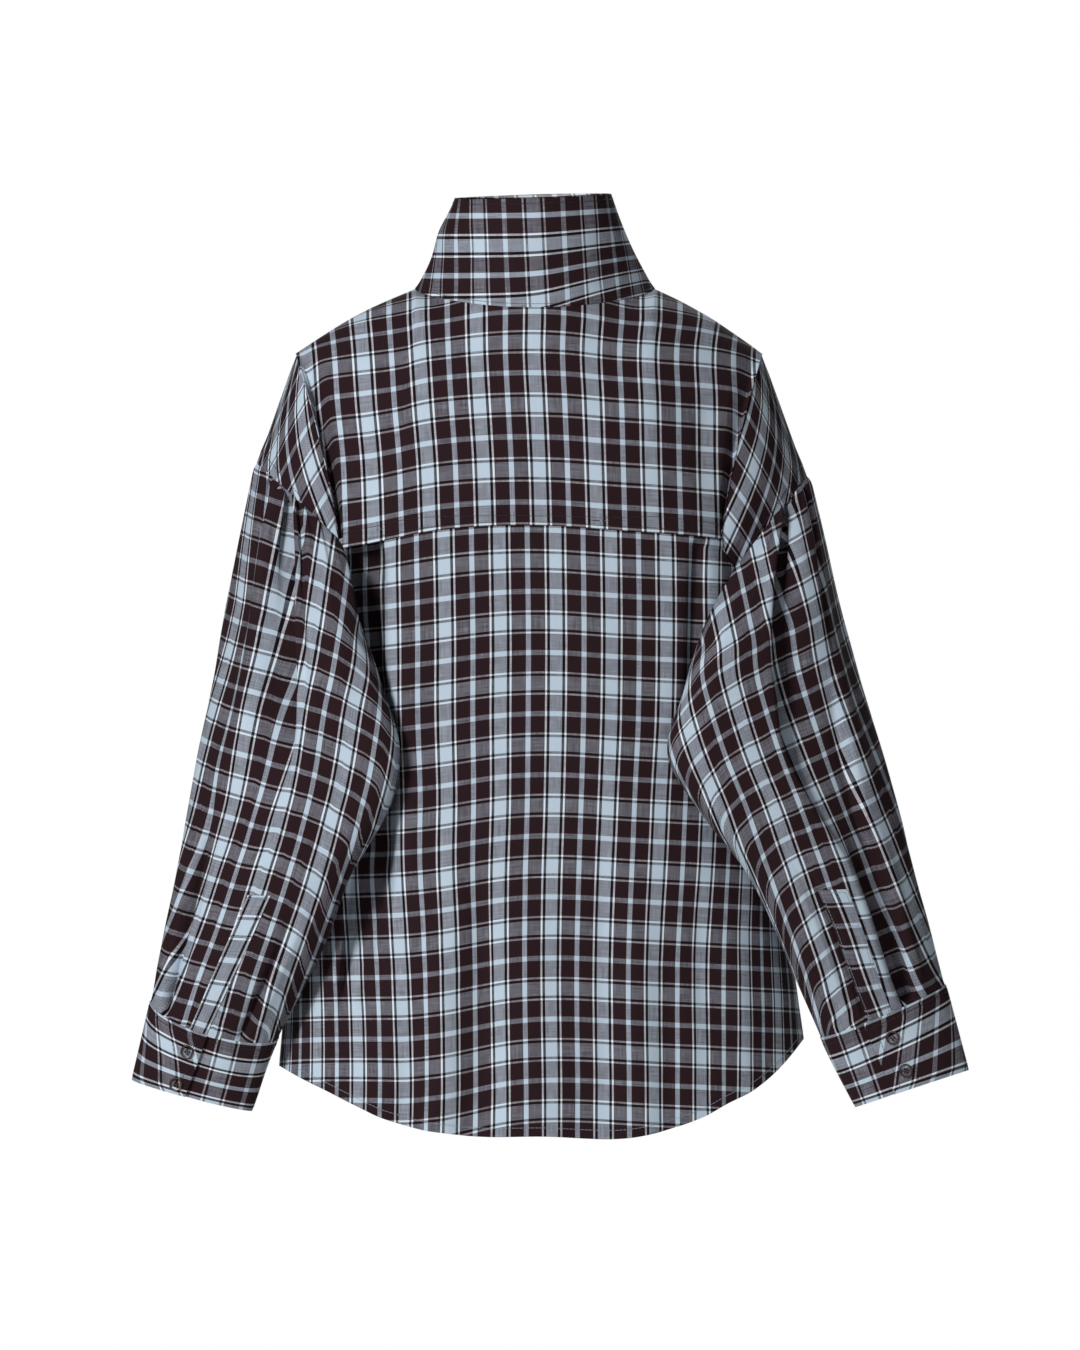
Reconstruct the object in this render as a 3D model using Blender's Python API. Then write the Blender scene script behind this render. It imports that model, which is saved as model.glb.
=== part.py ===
"""Wrap shirt: a checked cotton shirt with a funnel collar, a deep back yoke and gathered sleeves.

The shirt keeps the hollow form that it has when it is worn. Its back faces -Y, its front
faces +Y, and the wearer's left is at -X. The origin is the centre of the neck seam.
Lengths in the tables are millimetres, and the model is in metres with +Z up. A "drop" is
how far a point lies below the neck seam. Each piece of cloth is a wall whose outer face is
a function of two numbers, and the wall's thickness goes inwards.
"""
import math

import bmesh
import bpy
import numpy as np
from mathutils import Vector

MM = 0.001

# Cloth and seams
CLOTH_WALL = 1.2
SEAM_HALF_GAP = 0.18
LAP_LIFT = 1.7
NECK_LAP_SHIFT = 0.8
NECK_LAP_ROW = -0.75
PATCH_LIFT = 1.55
SHOULDER_PULL = 1.2
ARMHOLE_PULL = 0.4
ARMPIT_PULL = 1.0

# Buttons
BUTTON_DIAMETER = 11.3
BUTTON_THICKNESS = 2.0
BUTTON_SEAT_GAP = 0.4
BUTTON_CHAMFER = 0.5
BUTTON_SIDES = 14

# Finishes, as linear colours: the check's mean colour, and the buttons' dark brown
CLOTH_COLOUR = (0.16, 0.16, 0.18)
CLOTH_ROUGHNESS = 0.8
BUTTON_COLOUR = (0.03, 0.012, 0.012)
BUTTON_ROUGHNESS = 0.35

# Neck and shoulders
NECK_HALF_WIDTH = 102.0
NECK_CORNER = (102.0, 8.0, 4.0)
SHOULDER_TIP = {-1: (-203.0, 8.0, -51.0), 1: (193.0, 8.0, -51.0)}
SHOULDER_CROWN = 4.0
RIDGE_TURN = 6.0
# Each side's neck: its depth, its drop, the cloth's slope at its middle, and the powers that
# shape the depth and the drop
NECK = {-1: (80.0, 14.5, 54.0, 1.4, 1.6), 1: (76.0, 38.0, 40.0, 1.4, 1.7)}
SHOULDER_FLARE = 1.4

# Armholes, as turns round the body from its centre line
ARMHOLE_TURN = 53.8
SIDE_TURN = 90.0
UNDERARM_DROP = 250.0
UNDERARM_ROW = 0.25
SLEEVE_CLEARANCE = 3.0
SEAM_CLEARANCE = 0.8
CLEARANCE_REACH = 25.0
CHEST_LEVEL = 200.0
CHEST_SPREAD = 0.4
FRONT_CHEST_DROP = 208.0

# Which way each face's own normal points: 1 where it already points out
BACK_OUTWARD = -1
FRONT_OUTWARD = 1
COLLAR_OUTWARD = 1

# Front lap: how far each front and each end of the collar reaches, across the shirt. The neck
# is cut into equal steps, and both edges lie on a step.
NECK_STEPS = 14
OVER_EDGE = -6 / NECK_STEPS
UNDER_EDGE = -3 / NECK_STEPS
LAP_RAMP = 2 / NECK_STEPS


def table(columns, *rows):
    """A short table, as one array for each named column."""
    return {name: np.array(values, float) for name, values in zip(columns.split(), zip(*rows))}


# The body's sections, from the yoke to the hem
TORSO = table(
    "drop centre half_width back front square",
    (185, -3.5, 184, 110, 110, 2.8),
    (208, -3.5, 184, 110, 112, 2.8),
    (250, -3.0, 187, 112, 114, 2.7),
    (390, 0.0, 196, 113, 112, 2.5),
    (520, 3.0, 209, 114, 108, 2.4),
    (640, 6.5, 223, 114, 108, 2.3),
    (720, 7.0, 229, 115, 108, 2.3),
)

# The yoke seam's drop, across the back from armhole to armhole
YOKE_SEAM = table(
    "across drop",
    (-1.00, 216), (-0.80, 211.5), (-0.43, 199.5), (0.10, 196), (0.40, 199.8), (0.67, 203), (1.00, 207.5),
)

# The tail's hem, across the back from side seam to side seam
HEM = table(
    "across drop",
    (-1.00, 655), (-0.92, 665), (-0.82, 676), (-0.71, 688.5), (-0.59, 701), (-0.32, 714), (0.00, 715.5),
    (0.37, 715), (0.575, 701), (0.68, 688.5), (0.79, 676), (0.87, 663), (0.93, 650), (1.00, 632),
)
FRONT_HEM_RISE = 18.0

# The body's soft folds: where each lies across its side at the chest and at the hem
BODY_FOLDS = table(
    "side chest hem start width depth",
    (-1, -0.20, -0.27, 0.35, 0.055, -5.0),
    (-1, -0.34, -0.40, 0.50, 0.050, 4.0),
    (-1, -0.48, -0.53, 0.55, 0.050, -4.5),
    (-1, 0.16, 0.14, 0.45, 0.060, -3.5),
    (-1, 0.52, 0.48, 0.60, 0.060, -4.5),
    (-1, 0.66, 0.64, 0.65, 0.050, 3.5),
    (1, -0.10, -0.16, 0.30, 0.060, -4.5),
    (1, 0.22, 0.26, 0.45, 0.060, -4.0),
    (1, 0.50, 0.52, 0.35, 0.060, -4.5),
    (1, -0.60, -0.56, 0.50, 0.060, -4.0),
)

# The collar's top edge and its profile, from the neck seam (0) up to the top edge (1)
COLLAR_TOP_HALF_WIDTH = 66.5
COLLAR_TOP_CENTRE = -1.5
COLLAR_TOP_BACK = 58.0
COLLAR_TOP_FRONT = 60.0
COLLAR_TOP_HEIGHT = 84.0
COLLAR_FRONT_RISE = 6.0
COLLAR_SAG = 2.5
COLLAR_HOLLOW = 3.0

# The arms' sections. "outer" and "inner" are the two sides that show from the back, "near"
# and "far" how far the sleeve swells towards the back and towards the front.
ARM_COLUMNS = "along ox oz oy ix iz iy near near_z far far_z"
ARMS = {
    -1: table(
        ARM_COLUMNS,
        (0, -234, -139, 0, -172, -248, -20, 78, 0, 76, 0),
        (49, -247, -195, -6, -157, -264, -66, 66, 0, 108, 0),
        (103, -262, -265, -18, -144, -292, -96, 56, -6, 100, 0),
        (159, -274, -330, -34, -129, -335, -108, 48, -4, 84, 0),
        (214, -286, -388, -48, -115, -386, -114, 44, 0, 66, 0),
        (270, -297, -447, -52, -124, -436, -112, 42, 0, 52, 0),
        (329, -306, -495, -52, -158, -497, -100, 40, 0, 42, 0),
        (379, -315, -540, -50, -177, -548, -86, 38, -3, 36, 0),
        (423, -322, -575, -46, -198, -592, -68, 34, -9, 30, 3),
        (461, -327, -602, -42, -219, -632, -48, 26, -15, 24, 6),
        (527, -342, -667, -40, -241, -693, -38, 23, -3, 22, 2),
    ),
    1: table(
        ARM_COLUMNS,
        (0, 229, -151, 0, 168, -252, -20, 78, 0, 76, 0),
        (46, 243, -200, -6, 152, -272, -66, 66, 0, 108, 0),
        (93, 258, -262, -18, 139, -297, -96, 56, -6, 100, 0),
        (146, 276, -325, -34, 127, -335, -108, 48, -4, 84, 0),
        (206, 295, -388, -48, 113, -391, -114, 44, 0, 66, 0),
        (259, 310, -440, -52, 138, -436, -110, 42, 0, 52, 0),
        (316, 322, -487, -52, 178, -489, -94, 40, 0, 42, 0),
        (369, 334, -532, -50, 205, -541, -76, 38, 0, 36, 0),
        (410, 343, -567, -46, 222, -582, -60, 34, -2, 30, 2),
        (450, 349, -588, -42, 244, -633, -46, 26, -4, 24, 4),
        (519, 368, -659, -40, 273, -690, -38, 23, 0, 22, 2),
    ),
}
SLEEVE_LENGTH = {-1: 461.0, 1: 450.0}
CUFF_END = {-1: 527.0, 1: 519.0}
SHOULDER_BLEND = 0.24

# How far the seam under the arm lies forward of the inner side, from the armhole to the cuff
UNDERARM_SHIFT = table(
    "down shift",
    (0, 0.02), (0.12, 0.08), (0.26, 0.11), (0.5, 0.08), (0.7, 0.06), (1, 0.06),
)

# Shoulder caps: the seam's outermost point, and the drops where its ends meet the armhole
CAP_TOP = {-1: (-234.0, 4.0, -139.0), 1: (229.0, 4.0, -151.0)}
CAP_BACK_DROP = {-1: 207.0, 1: 232.0}
CAP_FRONT_DROP = {-1: 205.0, 1: 205.0}
CAP_END = 0.965
CAP_SWELL = 6.0
CAP_TIP_REACH = 0.05

# Gathers where the sleeve joins the cap, and the sleeve's long folds and cuff pleats
GATHER_COUNT = 12
GATHER_DEPTH = 2.9
GATHER_REACH = 38.0
GATHER_START = 8.0
GATHER_END = 0.02
PUFF_HEIGHT = 4.0
PUFF_START = 14.0
PUFF_REACH = 60.0
FOLD_START = 0.12
FOLD_END = 0.15
CUFF_CALM = 0.04
CUFF_CALM_SHARE = 0.15
SLEEVE_FOLDS = {
    -1: table(
        "top bottom start end width depth",
        (0.205, 0.200, 0.02, 0.55, 0.030, -9.0),
        (0.130, 0.120, 0.02, 0.60, 0.035, 5.0),
        (0.300, 0.270, 0.25, 0.80, 0.040, -4.0),
        (0.115, 0.122, 0.58, 1.00, 0.022, -6.0),
        (0.700, 0.690, 0.10, 0.60, 0.035, -5.0),
        (0.860, 0.850, 0.50, 1.00, 0.030, -5.0),
    ),
    1: table(
        "top bottom start end width depth",
        (0.190, 0.160, 0.02, 0.85, 0.030, -9.0),
        (0.115, 0.100, 0.02, 0.60, 0.030, 4.0),
        (0.310, 0.280, 0.30, 0.80, 0.040, -4.0),
        (0.160, 0.150, 0.60, 1.00, 0.022, -6.0),
        (0.690, 0.700, 0.10, 0.60, 0.035, -5.0),
        (0.850, 0.860, 0.50, 1.00, 0.030, -5.0),
    ),
}

# Cuffs and plackets, as places round the sleeve (0 at its outer side, 0.25 at its back)
CUFF_LAP = {-1: 0.210, 1: 0.265}
CUFF_LAP_REACH = 0.09
CUFF_LAP_RISE = 0.08
CUFF_LAP_LEVEL = 0.01
PLACKET_PLACE = {-1: 0.205, 1: 0.232}
PLACKET_HALF_WIDTH = 0.024
PLACKET_START = 0.745

# The steps of the pieces' grids, shared so that neighbours meet point to point at their seams
SHOULDER_STEPS = 5
YOKE_ROWS = np.linspace(-1, 0, 8)
FOOT_ROWS = np.linspace(0, UNDERARM_ROW, 5)
SKIRT_ROWS = np.linspace(UNDERARM_ROW, 1, 12)
SLEEVE_ROWS = np.array([0, 0.02, 0.045, 0.08, 0.13, 0.20, 0.28, 0.36, 0.44, 0.52, 0.60, 0.675,
                        PLACKET_START, 0.81, 0.875, 0.94, 1.0])
OUTER_STEPS = 8
PLACKET_STEPS = 2
TIP_STEPS = 6
UNDERARM_STEPS = 12
FRONT_STEPS = 12
CUFF_LAP_STEPS = 4
CUFF_STEPS = 26
CUFF_ROWS = np.linspace(0, 1, 6)
COLLAR_ROWS = np.linspace(0, 1, 5)
CAP_ROWS = np.linspace(0, 1, 4)

# Buttons: two on each cuff, one on the collar's lap and five down the front's edge
CUFF_BUTTON_ROWS = {-1: (0.28, 0.84), 1: (0.27, 0.74)}
CUFF_BUTTON_INSET = {-1: 0.027, 1: 0.042}
FRONT_BUTTON_INSET = 0.055
FRONT_BUTTON_ROWS = (-0.62, -0.02, 0.28, 0.50, 0.72)
COLLAR_BUTTON_HEIGHT = 0.55


def read(tab, name, at):
    """A column of a table at a value of its first column, on a smooth curve through its rows."""
    keys = next(iter(tab.values()))
    values = tab[name]
    slopes = np.gradient(values, keys)
    at = np.clip(at, keys[0], keys[-1])
    row = np.clip(np.searchsorted(keys, at, side="right") - 1, 0, len(keys) - 2)
    step = keys[row + 1] - keys[row]
    t = (at - keys[row]) / step
    start = (1 + 2 * t) * (1 - t) ** 2 * values[row] + t * (1 - t) ** 2 * step * slopes[row]
    end = t * t * (3 - 2 * t) * values[row + 1] + t * t * (t - 1) * step * slopes[row + 1]
    return start + end


def joined(*runs):
    """Runs of steps put end to end, each shared end once."""
    return np.concatenate([runs[0]] + [run[1:] for run in runs[1:]])


def ease(t):
    """0 below 0, 1 above 1, and a soft step between."""
    t = np.clip(t, 0.0, 1.0)
    return t * t * (3 - 2 * t)


def mix(a, b, t):
    return a + (b - a) * t


def stack(x, y, z):
    return np.stack(np.broadcast_arrays(x, y, z), axis=-1)


# ---------------------------------------------------------------- body

def round_section(turn, square):
    """Where a turn round a soft-cornered oval lies: across and along, both from -1 to 1."""
    across, along = np.sin(turn), np.cos(turn)
    size = (np.abs(across) ** square + np.abs(along) ** square) ** (1 / square)
    return across / size, along / size


def top_line(side, u):
    """The neck seam and the shoulder seams, from the left shoulder (-1) to the right one (1)."""
    hand = np.where(u < 0, -1, 1)
    out = np.clip((np.abs(u) - 0.5) / 0.5, 0, None)
    tip = np.where((u < 0)[..., None], SHOULDER_TIP[-1], SHOULDER_TIP[1])
    corner = np.stack([NECK_CORNER[0] * hand, NECK_CORNER[1] + 0 * u, NECK_CORNER[2] + 0 * u], axis=-1)
    shoulder = mix(corner, tip, out[..., None])
    shoulder[..., 2] += SHOULDER_CROWN * np.sin(np.pi * np.clip(out, 0, 1))
    bend = (np.clip(u, -0.5, 0.5) + 0.5) * np.pi
    rise = np.sin(bend)
    depth, drop, turn, depth_power, drop_power = NECK[side]
    neck = stack(
        -NECK_HALF_WIDTH * np.cos(bend),
        NECK_CORNER[1] + side * depth * rise ** depth_power,
        NECK_CORNER[2] - drop * rise ** drop_power,
    )
    line = np.where((np.abs(u) > 0.5)[..., None], shoulder, neck)
    turn = side * RIDGE_TURN + turn * rise * rise
    return line, np.radians(turn)


def chest_share(u):
    """The steps across at the chest. They are wider in the middle, so that columns run straight."""
    return u * (1 + CHEST_SPREAD * (1 - u * u))


def chest_drop(side, u):
    return read(YOKE_SEAM, "drop", chest_share(u)) if side < 0 else FRONT_CHEST_DROP + 0 * u


def torso(side, turn, drop):
    """A point of the body's side (-1 back, 1 front), by its turn from the centre line."""
    across, along = round_section(turn, read(TORSO, "square", drop))
    depth = read(TORSO, "back" if side < 0 else "front", drop)
    x = read(TORSO, "centre", drop) + read(TORSO, "half_width", drop) * across
    return stack(x, side * depth * along, -drop)


def hem_drop(side, turn):
    across, _ = round_section(turn, TORSO["square"][-1])
    rise = FRONT_HEM_RISE * (1 - across ** 4) if side > 0 else 0.0
    return read(HEM, "drop", across) - rise


def body(side, u, v):
    """The body's outer face: v is -1 at the shoulder, 0 at the chest and 1 at the hem."""
    u, v = np.broadcast_arrays(np.asarray(u, float), np.asarray(v, float))
    chest = torso(side, np.radians(ARMHOLE_TURN) * chest_share(u), chest_drop(side, u))
    line, start = top_line(side, u)
    angle = np.pi / 2 - (np.pi / 2 - start) * np.clip(-v, 0, None)
    out = (np.sin(angle) - np.sin(start)) / (1 - np.sin(start))
    up = np.cos(angle) / np.cos(start)
    upper = stack(
        mix(chest[..., 0], line[..., 0], np.abs(up) ** SHOULDER_FLARE),
        mix(line[..., 1], chest[..., 1], out),
        mix(chest[..., 2], line[..., 2], up),
    )
    # Below the chest the sides run round the armhole's foot, and then down the side seams.
    foot = np.clip(v / UNDERARM_ROW, 0, 1)
    edge = (SIDE_TURN - ARMHOLE_TURN) * (1 - np.cos(foot * np.pi / 2))
    turn = np.radians(ARMHOLE_TURN * chest_share(u) + edge * np.abs(u) * u ** 3)
    fall = mix(foot, np.sin(foot * np.pi / 2), np.minimum(np.abs(u), 1) ** 4)
    drop = mix(chest_drop(side, u), UNDERARM_DROP, fall)
    drop = mix(drop, hem_drop(side, turn), np.clip((v - UNDERARM_ROW) / (1 - UNDERARM_ROW), 0, None))
    lower = torso(side, turn, drop)
    ripple = body_fold(side, lower[..., 0], drop, v)
    lower[..., 0] += ripple * np.sin(turn)
    lower[..., 1] += ripple * np.cos(turn) * side
    return np.where((v < 0)[..., None], upper, lower)


def body_fold(side, x, drop, v):
    """How far the soft folds move the body's cloth in or out."""
    across = (x - read(TORSO, "centre", drop)) / read(TORSO, "half_width", drop)
    total = 0 * across
    rows = zip(*(BODY_FOLDS[name] for name in ("side", "chest", "hem", "start", "width", "depth")))
    for fold_side, chest, hem, start, width, depth in rows:
        if fold_side == side:
            place = mix(chest, hem, np.clip(v, 0, 1))
            strength = ease((v - start) / (1.05 - start))
            total = total + depth * strength * np.exp(-((across - place) / width) ** 2)
    return total


def back(u, v):
    return body(-1, u, v)


def front(u, v):
    return body(1, u, v)


def lap_lift(u):
    """How far the upper front, and the collar on it, is lifted where it lies on the lower one."""
    return LAP_LIFT * ease((UNDER_EDGE + LAP_RAMP - u) / LAP_RAMP)


def front_over(u, v):
    """The front on the wearer's right, lifted where it lies on the other front. At the neck it
    also moves up and away from the neck, to leave room for the collar's own lap."""
    point = raised(front, u, v, lap_lift(u), FRONT_OUTWARD)
    away = from_neck_axis(point) + [0, 0, 1]
    share = ease((NECK_LAP_ROW - v) / (1 + NECK_LAP_ROW))
    return point + away * (NECK_LAP_SHIFT * lap_lift(u) * share)[..., None]


# ---------------------------------------------------------------- collar

def collar_ring(side, u):
    """The collar's top edge above the point u of the neck seam."""
    bend = (u + 0.5) * np.pi
    depth = COLLAR_TOP_BACK if side < 0 else COLLAR_TOP_FRONT
    rise = COLLAR_FRONT_RISE * np.sin(bend) if side > 0 else -COLLAR_SAG * np.sin(bend)
    return stack(
        COLLAR_TOP_CENTRE - COLLAR_TOP_HALF_WIDTH * np.cos(bend),
        NECK_CORNER[1] + side * depth * np.sin(bend),
        COLLAR_TOP_HEIGHT + rise,
    )


def collar(run, v):
    """The collar's outer face. Its run starts at the under end, at 0.5 and 1.5 it passes the
    left and the right end of the neck's back, and past 1.5 it comes round to the over end."""
    run, v = np.broadcast_arrays(np.asarray(run, float), np.asarray(v, float))
    left = np.clip(-run, -0.5, None)
    behind = np.clip(run - 1.0, -0.5, 0.5)
    right = np.clip(2.0 - run, None, 0.5)
    first = (run < 0.5)[..., None]
    second = (run < 1.5)[..., None]
    over_foot = front_over(right, -1 + 0 * v)
    over_head = collar_ring(1, right)
    over_head = over_head + from_neck_axis(over_head) * lap_lift(right)[..., None]
    foot = np.where(first, top_line(1, left)[0], np.where(second, top_line(-1, behind)[0], over_foot))
    head = np.where(first, collar_ring(1, left), np.where(second, collar_ring(-1, behind), over_head))
    point = mix(foot, head, v[..., None])
    return point - from_neck_axis(point) * (COLLAR_HOLLOW * np.sin(np.pi * v))[..., None]


def from_neck_axis(point):
    """The level directions from the neck's upright axis to the points."""
    out = (point - [0, NECK_CORNER[1], 0]) * [1, 1, 0]
    return out / np.linalg.norm(out, axis=-1, keepdims=True)


# ---------------------------------------------------------------- arms

def armhole_outline(hand):
    """The armhole's edge, from the shoulder seam down the back, round and up the front."""
    rows = joined(YOKE_ROWS, FOOT_ROWS)
    down = body(-1, hand + 0 * rows, rows)
    up = body(1, hand + 0 * rows, rows)[::-1]
    points = np.concatenate([down, up[1:]])
    steps = np.linalg.norm(np.diff(points, axis=0), axis=1)
    place = np.concatenate([[0], np.cumsum(steps)])
    return place / place[-1], points


ARMHOLES = {hand: armhole_outline(hand) for hand in (-1, 1)}


def armhole(hand, r):
    """The armhole's edge at the place r: 0 and 1 at the shoulder, about 0.5 under the arm."""
    place, points = ARMHOLES[hand]
    r = np.mod(r, 1.0)
    return np.stack([np.interp(r, place, points[:, axis]) for axis in range(3)], axis=-1)


def cap_ends(hand):
    """The places round the armhole where the cap's seam leaves it, at the back and in front."""
    place, points = ARMHOLES[hand]
    half = len(place) // 2
    behind = np.interp(CAP_BACK_DROP[hand], -points[:half, 2], place[:half])
    before = np.interp(-CAP_FRONT_DROP[hand], points[half:, 2], place[half:])
    return behind, 1 - before


def cap_seam(hand, r):
    """The seam between the cap and the gathered sleeve. Under the arm it is the armhole itself."""
    behind, before = cap_ends(hand)
    r = np.mod(np.asarray(r, float) + 0.5, 1.0) - 0.5
    limit = np.where(r >= 0, behind, before)
    w = np.clip(np.abs(r) / limit, 0, 1)[..., None]
    end = armhole(hand, np.where(r >= 0, behind, -before))
    top = np.array(CAP_TOP[hand])
    point = mix(end, top, np.cos(w * np.pi / 2))
    point[..., 1:2] = mix(top[1], end[..., 1:2], np.sin(w * np.pi / 2))
    return np.where(w < 1, point, armhole(hand, r))


def cap(hand, r, v):
    """The crescent that lies over the shoulder, from the armhole (0) to the gathered seam (1)."""
    r, v = np.broadcast_arrays(np.asarray(r, float), np.asarray(v, float))
    point = mix(armhole(hand, r), cap_seam(hand, r), v[..., None])
    behind, before = cap_ends(hand)
    w = np.clip(np.abs(r) / np.where(r >= 0, behind, before), 0, 1)
    swell = CAP_SWELL * np.sin(np.pi * w) * np.sin(np.pi * np.clip(v, 0, 1))
    point[..., 1] += np.where(r >= 0, -swell, swell)
    return point


def arm_ring(hand, along, r):
    """The arm's section at a distance down it: an oval between its outer and inner sides."""
    tab = ARMS[hand]
    outer = stack(*(read(tab, name, along) for name in ("ox", "oy", "oz")))
    inner = stack(*(read(tab, name, along) for name in ("ix", "iy", "iz")))
    shift = read(UNDERARM_SHIFT, "shift", along / SLEEVE_LENGTH[hand])
    turn = 2 * np.pi * (r + shift * np.sin(np.pi * r) ** 2)
    rise = np.sin(turn)
    near = stack(0 * along, -read(tab, "near", along), read(tab, "near_z", along))
    far = stack(0 * along, -read(tab, "far", along), -read(tab, "far_z", along))
    swell = np.where((rise > 0)[..., None], near, far) * rise[..., None]
    return (outer + inner) / 2 + (outer - inner) / 2 * np.cos(turn)[..., None] + swell


def arm_centre(hand, along):
    tab = ARMS[hand]
    return stack(*((read(tab, "o" + a, along) + read(tab, "i" + a, along)) / 2 for a in "xyz"))


def clear_of_body(points, margin):
    """Points pushed out of the body's section until they lie the margin off it."""
    drop = -points[..., 2]
    x = points[..., 0] - read(TORSO, "centre", drop)
    y = points[..., 1]
    depth = np.where(y < 0, read(TORSO, "back", drop), read(TORSO, "front", drop)) + margin
    width = read(TORSO, "half_width", drop) + margin
    square = read(TORSO, "square", drop)
    size = (np.abs(x / width) ** square + np.abs(y / depth) ** square) ** (1 / square)
    push = np.where((size < 1) & (drop > CHEST_LEVEL), 1 / np.maximum(size, 0.2), 1.0)
    moved = points.copy()
    moved[..., 0] = x * push + read(TORSO, "centre", drop)
    moved[..., 1] = y * push
    return moved


def sleeve(hand, r, s):
    """The sleeve's outer face: r is the place round it, s runs from the gathers (0) to the cuff (1)."""
    r, s = np.broadcast_arrays(np.asarray(r, float), np.asarray(s, float))
    r = np.mod(r, 1.0)
    along = s * SLEEVE_LENGTH[hand]
    start = cap_seam(hand, r) - arm_ring(hand, 0 * along, r)
    point = arm_ring(hand, along, r) + start * (1 - ease(s / SHOULDER_BLEND))[..., None]
    axis = arm_centre(hand, along)
    out = point - axis
    out /= np.linalg.norm(out, axis=-1, keepdims=True)
    behind, before = cap_ends(hand)
    gathered = ease((behind - r) / (2 * GATHER_END) + 0.5) + ease((r - 1 + before) / (2 * GATHER_END) + 0.5)
    wave = np.cos(2 * np.pi * GATHER_COUNT * r) * np.exp(-along / GATHER_REACH) * ease(along / GATHER_START)
    puff = ease(along / PUFF_START) * np.exp(-along / PUFF_REACH)
    swell = gathered * (GATHER_DEPTH * wave + PUFF_HEIGHT * puff)
    folds = SLEEVE_FOLDS[hand]
    rows = zip(*(folds[name] for name in ("top", "bottom", "start", "end", "width", "depth")))
    for top, bottom, begin, end, width, depth in rows:
        fade = ease((end - s) / FOLD_END) if end < 1 else 1
        strength = ease((s - begin) / FOLD_START) * fade
        swell = swell + depth * strength * np.exp(-((r - mix(top, bottom, s)) / width) ** 2)
    point = point + out * (swell * ease((1 - s) / CUFF_CALM + CUFF_CALM_SHARE))[..., None]
    return clear_of_body(point, mix(SEAM_CLEARANCE, SLEEVE_CLEARANCE, ease(along / CLEARANCE_REACH)))


def cuff(hand, r, v):
    """The cuff's outer face: r passes its lap once more than the sleeve, v runs down to its edge."""
    r, v = np.broadcast_arrays(np.asarray(r, float), np.asarray(v, float))
    along = mix(SLEEVE_LENGTH[hand], CUFF_END[hand], v)
    point = arm_ring(hand, along, np.mod(r, 1.0))
    out = point - arm_centre(hand, along)
    out /= np.linalg.norm(out, axis=-1, keepdims=True)
    lifted = 1 + CUFF_LAP[hand] - CUFF_LAP_REACH - CUFF_LAP_LEVEL
    lap = LAP_LIFT * ease((r - lifted) / CUFF_LAP_RISE + 1)
    return point + out * lap[..., None]


# ---------------------------------------------------------------- walls

def normals(face, u, v, step=1e-3):
    """The outward normals of a face, from points a small step to each side."""
    along_u = face(u + step, v) - face(u - step, v)
    along_v = face(u, v + step) - face(u, v - step)
    n = np.cross(along_u, along_v)
    return n / np.maximum(np.linalg.norm(n, axis=-1, keepdims=True), 1e-9)


def raised(face, u, v, lift, outward):
    """A face's points moved out by a lift."""
    return face(u, v) + normals(face, u, v) * outward * np.asarray(lift)[..., None]


def pull_edges(points, pulls, closed):
    """Draws a sheet's edges back along its own rows, to leave the seams' gaps."""
    left, right, top, bottom = pulls
    sheet = points.copy()

    def draw(edge, inside, length):
        way = inside - edge
        size = np.linalg.norm(way, axis=-1, keepdims=True)
        return edge + way * np.minimum(length / np.maximum(size, 1e-6), 0.45)

    if not closed:
        sheet[:, 0] = draw(sheet[:, 0], points[:, 1], left)
        sheet[:, -1] = draw(sheet[:, -1], points[:, -2], right)
    first, last = sheet[0].copy(), sheet[-1].copy()
    sheet[0] = draw(first, sheet[1], top)
    sheet[-1] = draw(last, sheet[-2], bottom)
    return sheet


def cloth(name, face, across, down, outward, pulls=(SEAM_HALF_GAP,) * 4, closed=False):
    """A piece of cloth: a grid on the face, thickened inwards into a closed wall."""
    columns = len(across) - 1
    rows = len(down) - 1
    u, v = np.meshgrid(across, down)
    outer = pull_edges(face(u, v), pulls, closed)
    inner = outer - normals(face, u, v) * outward * CLOTH_WALL
    layers = (outer, inner)

    bm = bmesh.new()
    bmesh.ops.create_grid(bm, x_segments=columns, y_segments=rows, size=0.5)
    wall = bmesh.ops.extrude_face_region(bm, geom=bm.faces[:], use_keep_orig=True)
    for vert in (item for item in wall["geom"] if isinstance(item, bmesh.types.BMVert)):
        vert.co.z = 1.0
    if closed:
        ends = [f for f in bm.faces if len({round(vert.co.x, 6) for vert in f.verts}) == 1]
        bmesh.ops.delete(bm, geom=ends, context="FACES")
    for vert in bm.verts:
        column = round((vert.co.x + 0.5) * columns)
        row = round((vert.co.y + 0.5) * rows)
        vert.co = Vector(layers[round(vert.co.z)][row, column]) * MM
    bmesh.ops.remove_doubles(bm, verts=bm.verts, dist=1e-6)
    bmesh.ops.recalc_face_normals(bm, faces=bm.faces)
    return add_object(name, bm, CLOTH_COLOUR, CLOTH_ROUGHNESS)


def add_object(name, bm, colour, roughness):
    mesh = bpy.data.meshes.new(name)
    bm.to_mesh(mesh)
    bm.free()
    mesh.shade_smooth()
    mesh.set_sharp_from_angle(angle=math.radians(40))
    material = bpy.data.materials.new(name)
    material.use_nodes = True
    shader = material.node_tree.nodes["Principled BSDF"]
    shader.inputs["Base Color"].default_value = (*colour, 1)
    shader.inputs["Roughness"].default_value = roughness
    shader.inputs["Metallic"].default_value = 0.0
    mesh.materials.append(material)
    piece = bpy.data.objects.new(name, mesh)
    bpy.context.scene.collection.objects.link(piece)
    return piece


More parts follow.
